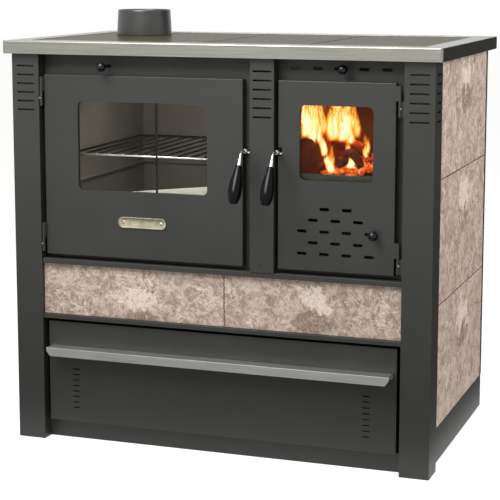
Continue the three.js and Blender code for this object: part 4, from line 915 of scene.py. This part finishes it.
def flame_gas(name, hot):
    """Burning wood gas: white-hot low in each tongue, yellow and orange streaks above, clear outside.
    It glows more than it covers, so that tongues in front of each other add up."""
    material, tree, shader, place = new_material(
        name, Base_Color="#000000", Roughness=1.0, Specular_IOR_Level=0.0,
    )
    own = add_node(tree, "TexCoord").outputs["UV"]
    across, up, _ = add_node(tree, "SeparateXYZ", {0: own}).outputs
    # The tongue's body: full in the middle, fading to its sides, its tip and its very foot.
    side = add_node(tree, "Math", {0: across, 1: 2.0, 2: -1.0}, operation="MULTIPLY_ADD")
    side = add_node(tree, "Math", {0: side}, operation="ABSOLUTE")
    side = add_node(tree, "Math", {0: side, 1: 2.2}, operation="POWER")
    middle = add_node(tree, "Math", {0: 1.0, 1: side}, operation="SUBTRACT")
    rise = add_node(tree, "Math", {0: up, 1: 1.4}, operation="POWER")
    tip = add_node(tree, "Math", {0: rise, 1: -0.8, 2: 1.0}, operation="MULTIPLY_ADD")
    foot = add_node(tree, "Math", {0: 1.0, 1: up}, operation="SUBTRACT")
    foot = add_node(tree, "Math", {0: foot, 1: 9.0}, operation="POWER")
    foot = add_node(tree, "Math", {0: 1.0, 1: foot}, operation="SUBTRACT")
    body = add_node(tree, "Math", {0: middle, 1: tip}, operation="MULTIPLY")
    body = add_node(tree, "Math", {0: body, 1: foot}, operation="MULTIPLY")
    # Broad and fine streaks drawn upwards, stronger towards the tip.
    _, broad = cloudy(tree, place, 15, detail=4, stretch=(1.6, 1.0, 0.4), twist=0.5)
    _, fine = cloudy(tree, place, 5, detail=5, stretch=(1.5, 1.0, 0.3), rough=0.65, twist=0.4)
    drift = add_node(tree, "Math", {0: broad, 1: fine}, operation="ADD")
    drift = add_node(tree, "Math", {0: drift, 1: 2.1, 2: -2.1}, operation="MULTIPLY_ADD")
    wild = add_node(tree, "Math", {0: rise, 1: 0.8, 2: 0.25}, operation="MULTIPLY_ADD")
    drift = add_node(tree, "Math", {0: drift, 1: wild}, operation="MULTIPLY")
    heat = add_node(tree, "Math", {0: body, 1: drift}, operation="ADD")
    heat = add_node(tree, "Math", {0: heat, 1: hot}, operation="MULTIPLY")
    stops = [(0.1, "#e03c06"), (0.34, "#f0700e"), (0.52, "#ffa22a"), (0.7, "#ffd060"), (0.95, "#fff0c0")]
    glowing(tree, shader, heat, stops, 1.7)
    clear = add_node(tree, "ValToRGB", {"Fac": heat}, [(0.08, 0.0), (0.3, 0.3), (0.85, 0.8)])
    feed(tree, shader, {"Alpha": clear})
    return material


charred = charred_wood()
embers = live_embers()
flame = flame_gas("burning_wood_gas", 1.0)
flame_hot = flame_gas("white_hot_wood_gas", 1.45)

TONGUE_COLUMNS, TONGUE_ROWS, CURL = 6, 14, 5.2


def tongue(root, width, height, lean, sway, turn, back):
    """One tongue of flame: a grid stood on its root in mm, drawn in row by row and swayed sideways."""
    root = Vector(root)
    piece = added(
        "tongue", bpy.ops.mesh.primitive_grid_add, x_subdivisions=TONGUE_COLUMNS,
        y_subdivisions=TONGUE_ROWS, size=1, location=(root + UP * height / 2) * MM,
        rotation=(math.radians(90), 0, 0),
    )
    piece.scale = (width * MM, height * MM, 1)
    settle(piece)
    with editing(piece):
        for share in (row / TONGUE_ROWS for row in range(TONGUE_ROWS + 1)):
            level = (root.z + height * share) * MM
            pick(piece, "VERT", lambda vert, level=level: abs(vert.co.z - level) < 0.2 * MM)
            narrow = (0.62 + 1.5 * share) * (1 - share) ** 0.9 + 0.03
            centre = (root.x * MM, root.y * MM, level)
            bpy.ops.transform.resize(value=(narrow, 1, 1), center_override=centre)
            push = lean * share ** 1.5 + sway * math.sin(share * CURL + turn) * share
            bpy.ops.transform.translate(value=(push * MM, back * share * MM, 0))
    return piece


def roughened(piece, offset, seed, cuts=0):
    """Moves the corners of a piece at random, in mm, on a finer mesh where cuts are given."""
    with editing(piece):
        if cuts:
            bpy.ops.mesh.subdivide(number_cuts=cuts)
        bpy.ops.transform.vertex_random(offset=offset * MM, seed=seed)
    return piece


def rough_log(name, points, radius, seed):
    """A charred stick along points in mm, with a rough skin."""
    return roughened(tube(name, points, radius), radius * 0.11, seed)


hearth_top = box_mm("grate")[1].z
left_wall = box_mm("firebrick_left")[1].x
right_wall = box_mm("firebrick_right")[0].x

# Logs: a split billet against the left brick, one across the back, and charred sticks in front.
billet_low, billet_size = Vector((left_wall + 1, -184, hearth_top + 30)), Vector((30, 294, 74))
billet = block("billet", billet_low, billet_low + billet_size, 10, 4)
logs = joined("burning_logs", [
    roughened(billet, 0.9, 3, cuts=5),
    rough_log("back_log", [(186, -30, 641), (222, -52, 640), (270, -60, 629)], 14, 5),
    rough_log("front_stick", [(241, -158, 613), (247, -135, 617), (254, -100, 618)], 10.5, 8),
    rough_log(
        "curved_stick", [(246, -128, 622), (262, -150, 634), (276, -150, 622), (284, -146, 606)], 8.5, 11,
    ),
    rough_log("low_stick", [(176, -150, 596), (196, -146, 604), (214, -120, 600)], 8, 14),
])
fit(logs, "root", charred, (), 50)

# Embers: lumps of glowing charcoal, heaped higher on the right.
LUMPS, HEAP_START_X, HEAP_RUN, HEAP_FRONT_Y = 110, 262, 40, -60
pile = random.Random(21)
ball = bpy.ops.mesh.primitive_ico_sphere_add
lump = roughened(added("lump", ball, subdivisions=2, radius=1 * MM, location=(0, 0, 0)), 0.22, 2)
lumps = []
for _ in range(LUMPS):
    x = pile.uniform(left_wall + 12, right_wall - 12)
    y = pile.uniform(-150, 60)
    heap = 12 + 30 * max(0.0, min(1.0, (x - HEAP_START_X) / HEAP_RUN)) * (1 if y < HEAP_FRONT_Y else 0.6)
    size = Vector((pile.uniform(6, 12), pile.uniform(6, 12), pile.uniform(5, 9)))
    z = hearth_top + 28 + pile.uniform(0, heap)
    spin = Matrix.Rotation(pile.uniform(0, 6.28), 4, "Z") @ Matrix.Diagonal((*size, 1))
    piece = copied(lump, "lump_copy")
    lumps.append(settle(piece, Matrix.Translation(Vector((x, y, z)) * MM) @ spin))
bpy.data.objects.remove(lump)
fit(joined("ember_bed", lumps), "root", embers, (), 50)

# Flames: root, width, height, lean, sway, turn and lean to the rear of each tongue, in mm.
HOT_TONGUES = [
    ((178, -178, 662), 36, 88, 2, 4, 0.9, 2),
    ((190, -172, 650), 32, 80, -6, 4, 2.2, 4),
    ((181, -152, 655), 40, 95, 4, 6, 0.3, 6),
    ((192, -148, 648), 34, 88, -8, 5, 1.9, 10),
    ((205, -138, 622), 24, 60, -14, 4, 0.8, 0),
    ((206, -84, 648), 44, 82, 6, 6, 2.4, 8),
    ((226, -80, 645), 44, 88, 2, 6, 0.2, 4),
    ((240, -76, 641), 34, 64, -10, 5, 1.2, 6),
    ((228, -163, 592), 30, 40, -14, 4, 2.0, 0),
    ((262, -140, 600), 42, 34, 8, 4, 0.6, 0),
]
FLAME_TONGUES = [
    ((176, -174, 676), 30, 78, 4, 6, 1.4, 4),
    ((192, -168, 668), 30, 84, -2, 6, 0.2, 4),
    ((178, -146, 672), 34, 84, 8, 7, 2.6, 8),
    ((200, -140, 665), 30, 78, -4, 8, 1.0, 6),
    ((214, -120, 650), 26, 84, -10, 6, 3.1, 4),
    ((214, -70, 665), 36, 92, -6, 8, 0.9, 6),
    ((236, -68, 660), 40, 98, 4, 8, 2.2, 4),
    ((252, -66, 652), 28, 84, -6, 6, 1.5, 0),
    ((270, -62, 618), 20, 54, 6, 7, 0.4, 0),
    ((280, -90, 612), 16, 40, -6, 6, 2.8, 0),
    ((222, -150, 600), 20, 52, 6, 5, 1.1, 0),
    ((246, -120, 626), 16, 34, 5, 4, 0.1, 0),
    ((183, -165, 588), 15, 24, 5, 3, 0.5, 0),
]
for name, tongues, material in (
    ("flames_white_hot", HOT_TONGUES, flame_hot), ("flames_orange", FLAME_TONGUES, flame),
):
    sheets = joined(name, [tongue(*values) for values in tongues])
    fit(sheets, "root", material, (), 60)

# ---- Stage: floor, light and camera ----


def seen_white(tree):
    """1 for the camera, in gloss and through glass, where floor and background show white."""
    path = add_node(tree, "LightPath").outputs
    seen = add_node(tree, "Math", {0: path["Is Camera Ray"], 1: path["Is Glossy Ray"]}, operation="MAXIMUM")
    inputs = {0: seen, 1: path["Is Transmission Ray"]}
    return add_node(tree, "Math", inputs, operation="MAXIMUM")


def pale_floor():
    """A pale floor that reads white to the camera and keeps the stove's shadow."""
    floor = added("studio_floor", bpy.ops.mesh.primitive_plane_add, size=30, location=(0, 0, 0))
    material, tree, shader, _ = new_material(
        "pale_studio_floor", Base_Color="#a8a8a5", Roughness=0.9, Specular_IOR_Level=0.1,
        Emission_Color="#ffffff",
    )
    glow = add_node(tree, "Math", {0: seen_white(tree), 1: 0.78}, operation="MULTIPLY")
    feed(tree, shader, {"Emission Strength": glow})
    floor.data.materials.append(material)


def white_world():
    """Plain soft light from all round, and a white background for what the camera sees."""
    world = bpy.data.worlds.new("studio_world")
    bpy.context.scene.world = world
    world.use_nodes = True
    tree = world.node_tree
    soft = tree.nodes["Background"]
    feed(tree, soft, {"Color": "#ffffff", "Strength": 0.4})
    white = add_node(tree, "Background", {"Color": "#ffffff", "Strength": 1.0})
    choice = add_node(tree, "MixShader", {0: seen_white(tree), 1: soft, 2: white})
    feed(tree, tree.nodes["World Output"], {"Surface": choice})


def soft_lamp(name, place, aim, size, watts, colour="#ffffff", glints=True):
    """A square lamp that faces a point and isn't seen itself, and without glints not in gloss either."""
    lamp = bpy.data.lights.new(name, "AREA")
    lamp.size = size
    lamp.energy = watts
    lamp.color = linear(colour)[:3]
    holder = bpy.data.objects.new(name, lamp)
    holder.location = place
    holder.rotation_euler = (Vector(aim) - Vector(place)).to_track_quat("-Z", "Y").to_euler()
    holder.visible_camera = False
    holder.visible_glossy = glints
    bpy.context.scene.collection.objects.link(holder)


def dark_card(name, centre, length, depth, rise):
    """A dark grey studio card on the floor, turned up at its rear edge, seen in reflections alone."""
    card = added(name, bpy.ops.mesh.primitive_plane_add, size=1, location=centre)
    card.scale = (length, depth, 1)
    settle(card)
    if rise:
        with editing(card):
            pick(card, "EDGE", lambda edge: all(vert.co.y > centre[1] for vert in edge.verts))
            bpy.ops.mesh.extrude_region_move(TRANSFORM_OT_translate={"value": UP * rise})
    material, *_ = new_material(name, Base_Color="#383836", Roughness=1.0, Specular_IOR_Level=0.0)
    card.data.materials.append(material)
    card.visible_camera = card.visible_diffuse = card.visible_transmission = card.visible_shadow = False


CAMERA_PLACE = (1.1049, -3.1397, 1.0011)
CAMERA_YAW, CAMERA_PITCH, CAMERA_ROLL = 19.44, 8.48, 0.035


def photo_camera():
    """The camera at the photograph's viewing angle."""
    camera = bpy.data.cameras.new("photo_view")
    camera.lens = 112.6
    camera.sensor_width = 36
    camera.shift_y = -0.1
    holder = bpy.data.objects.new("photo_view", camera)
    turn = (
        Matrix.Rotation(math.radians(CAMERA_YAW), 4, "Z")
        @ Matrix.Rotation(math.radians(90 - CAMERA_PITCH), 4, "X")
        @ Matrix.Rotation(math.radians(CAMERA_ROLL), 4, "Z")
    )
    holder.matrix_world = Matrix.Translation(CAMERA_PLACE) @ turn
    bpy.context.scene.collection.objects.link(holder)
    bpy.context.scene.camera = holder


pale_floor()
white_world()
# The side card draws the dark right-hand faces, and the front one darkens the foot of the front.
dark_card("side_card", (2.5, 0.3, 0.003), 4.0, 2.0, 3.0)
dark_card("front_card", (-0.25, -0.85, 0.004), 2.2, 1.0, 0)
soft_lamp("key_lamp", (-0.3, -1.3, 1.9), (0, -0.2, 0.65), 1.0, 35)
soft_lamp("side_lamp", (2.2, 0.1, 1.4), (0.45, 0.05, 0.45), 1.2, 38, glints=False)
soft_lamp("edge_lamp", (-0.5, -0.85, 2.1), (-0.1, -0.2, 0.7), 0.9, 16)
soft_lamp("fire_lamp", (0.235, -0.06, 0.73), (0.235, -0.06, 0.5), 0.06, 0.9, "#ff9a48")
soft_lamp("oven_lamp", (-0.162, -0.13, 0.745), (-0.162, 0.08, 0.5), 0.1, 0.92, "#fffcf8")
soft_lamp("top_lamp", (0.2, 0.3, 2.9), (0, 0, 0.8), 1.2, 14)
photo_camera()
bpy.context.scene.view_settings.view_transform = "Standard"
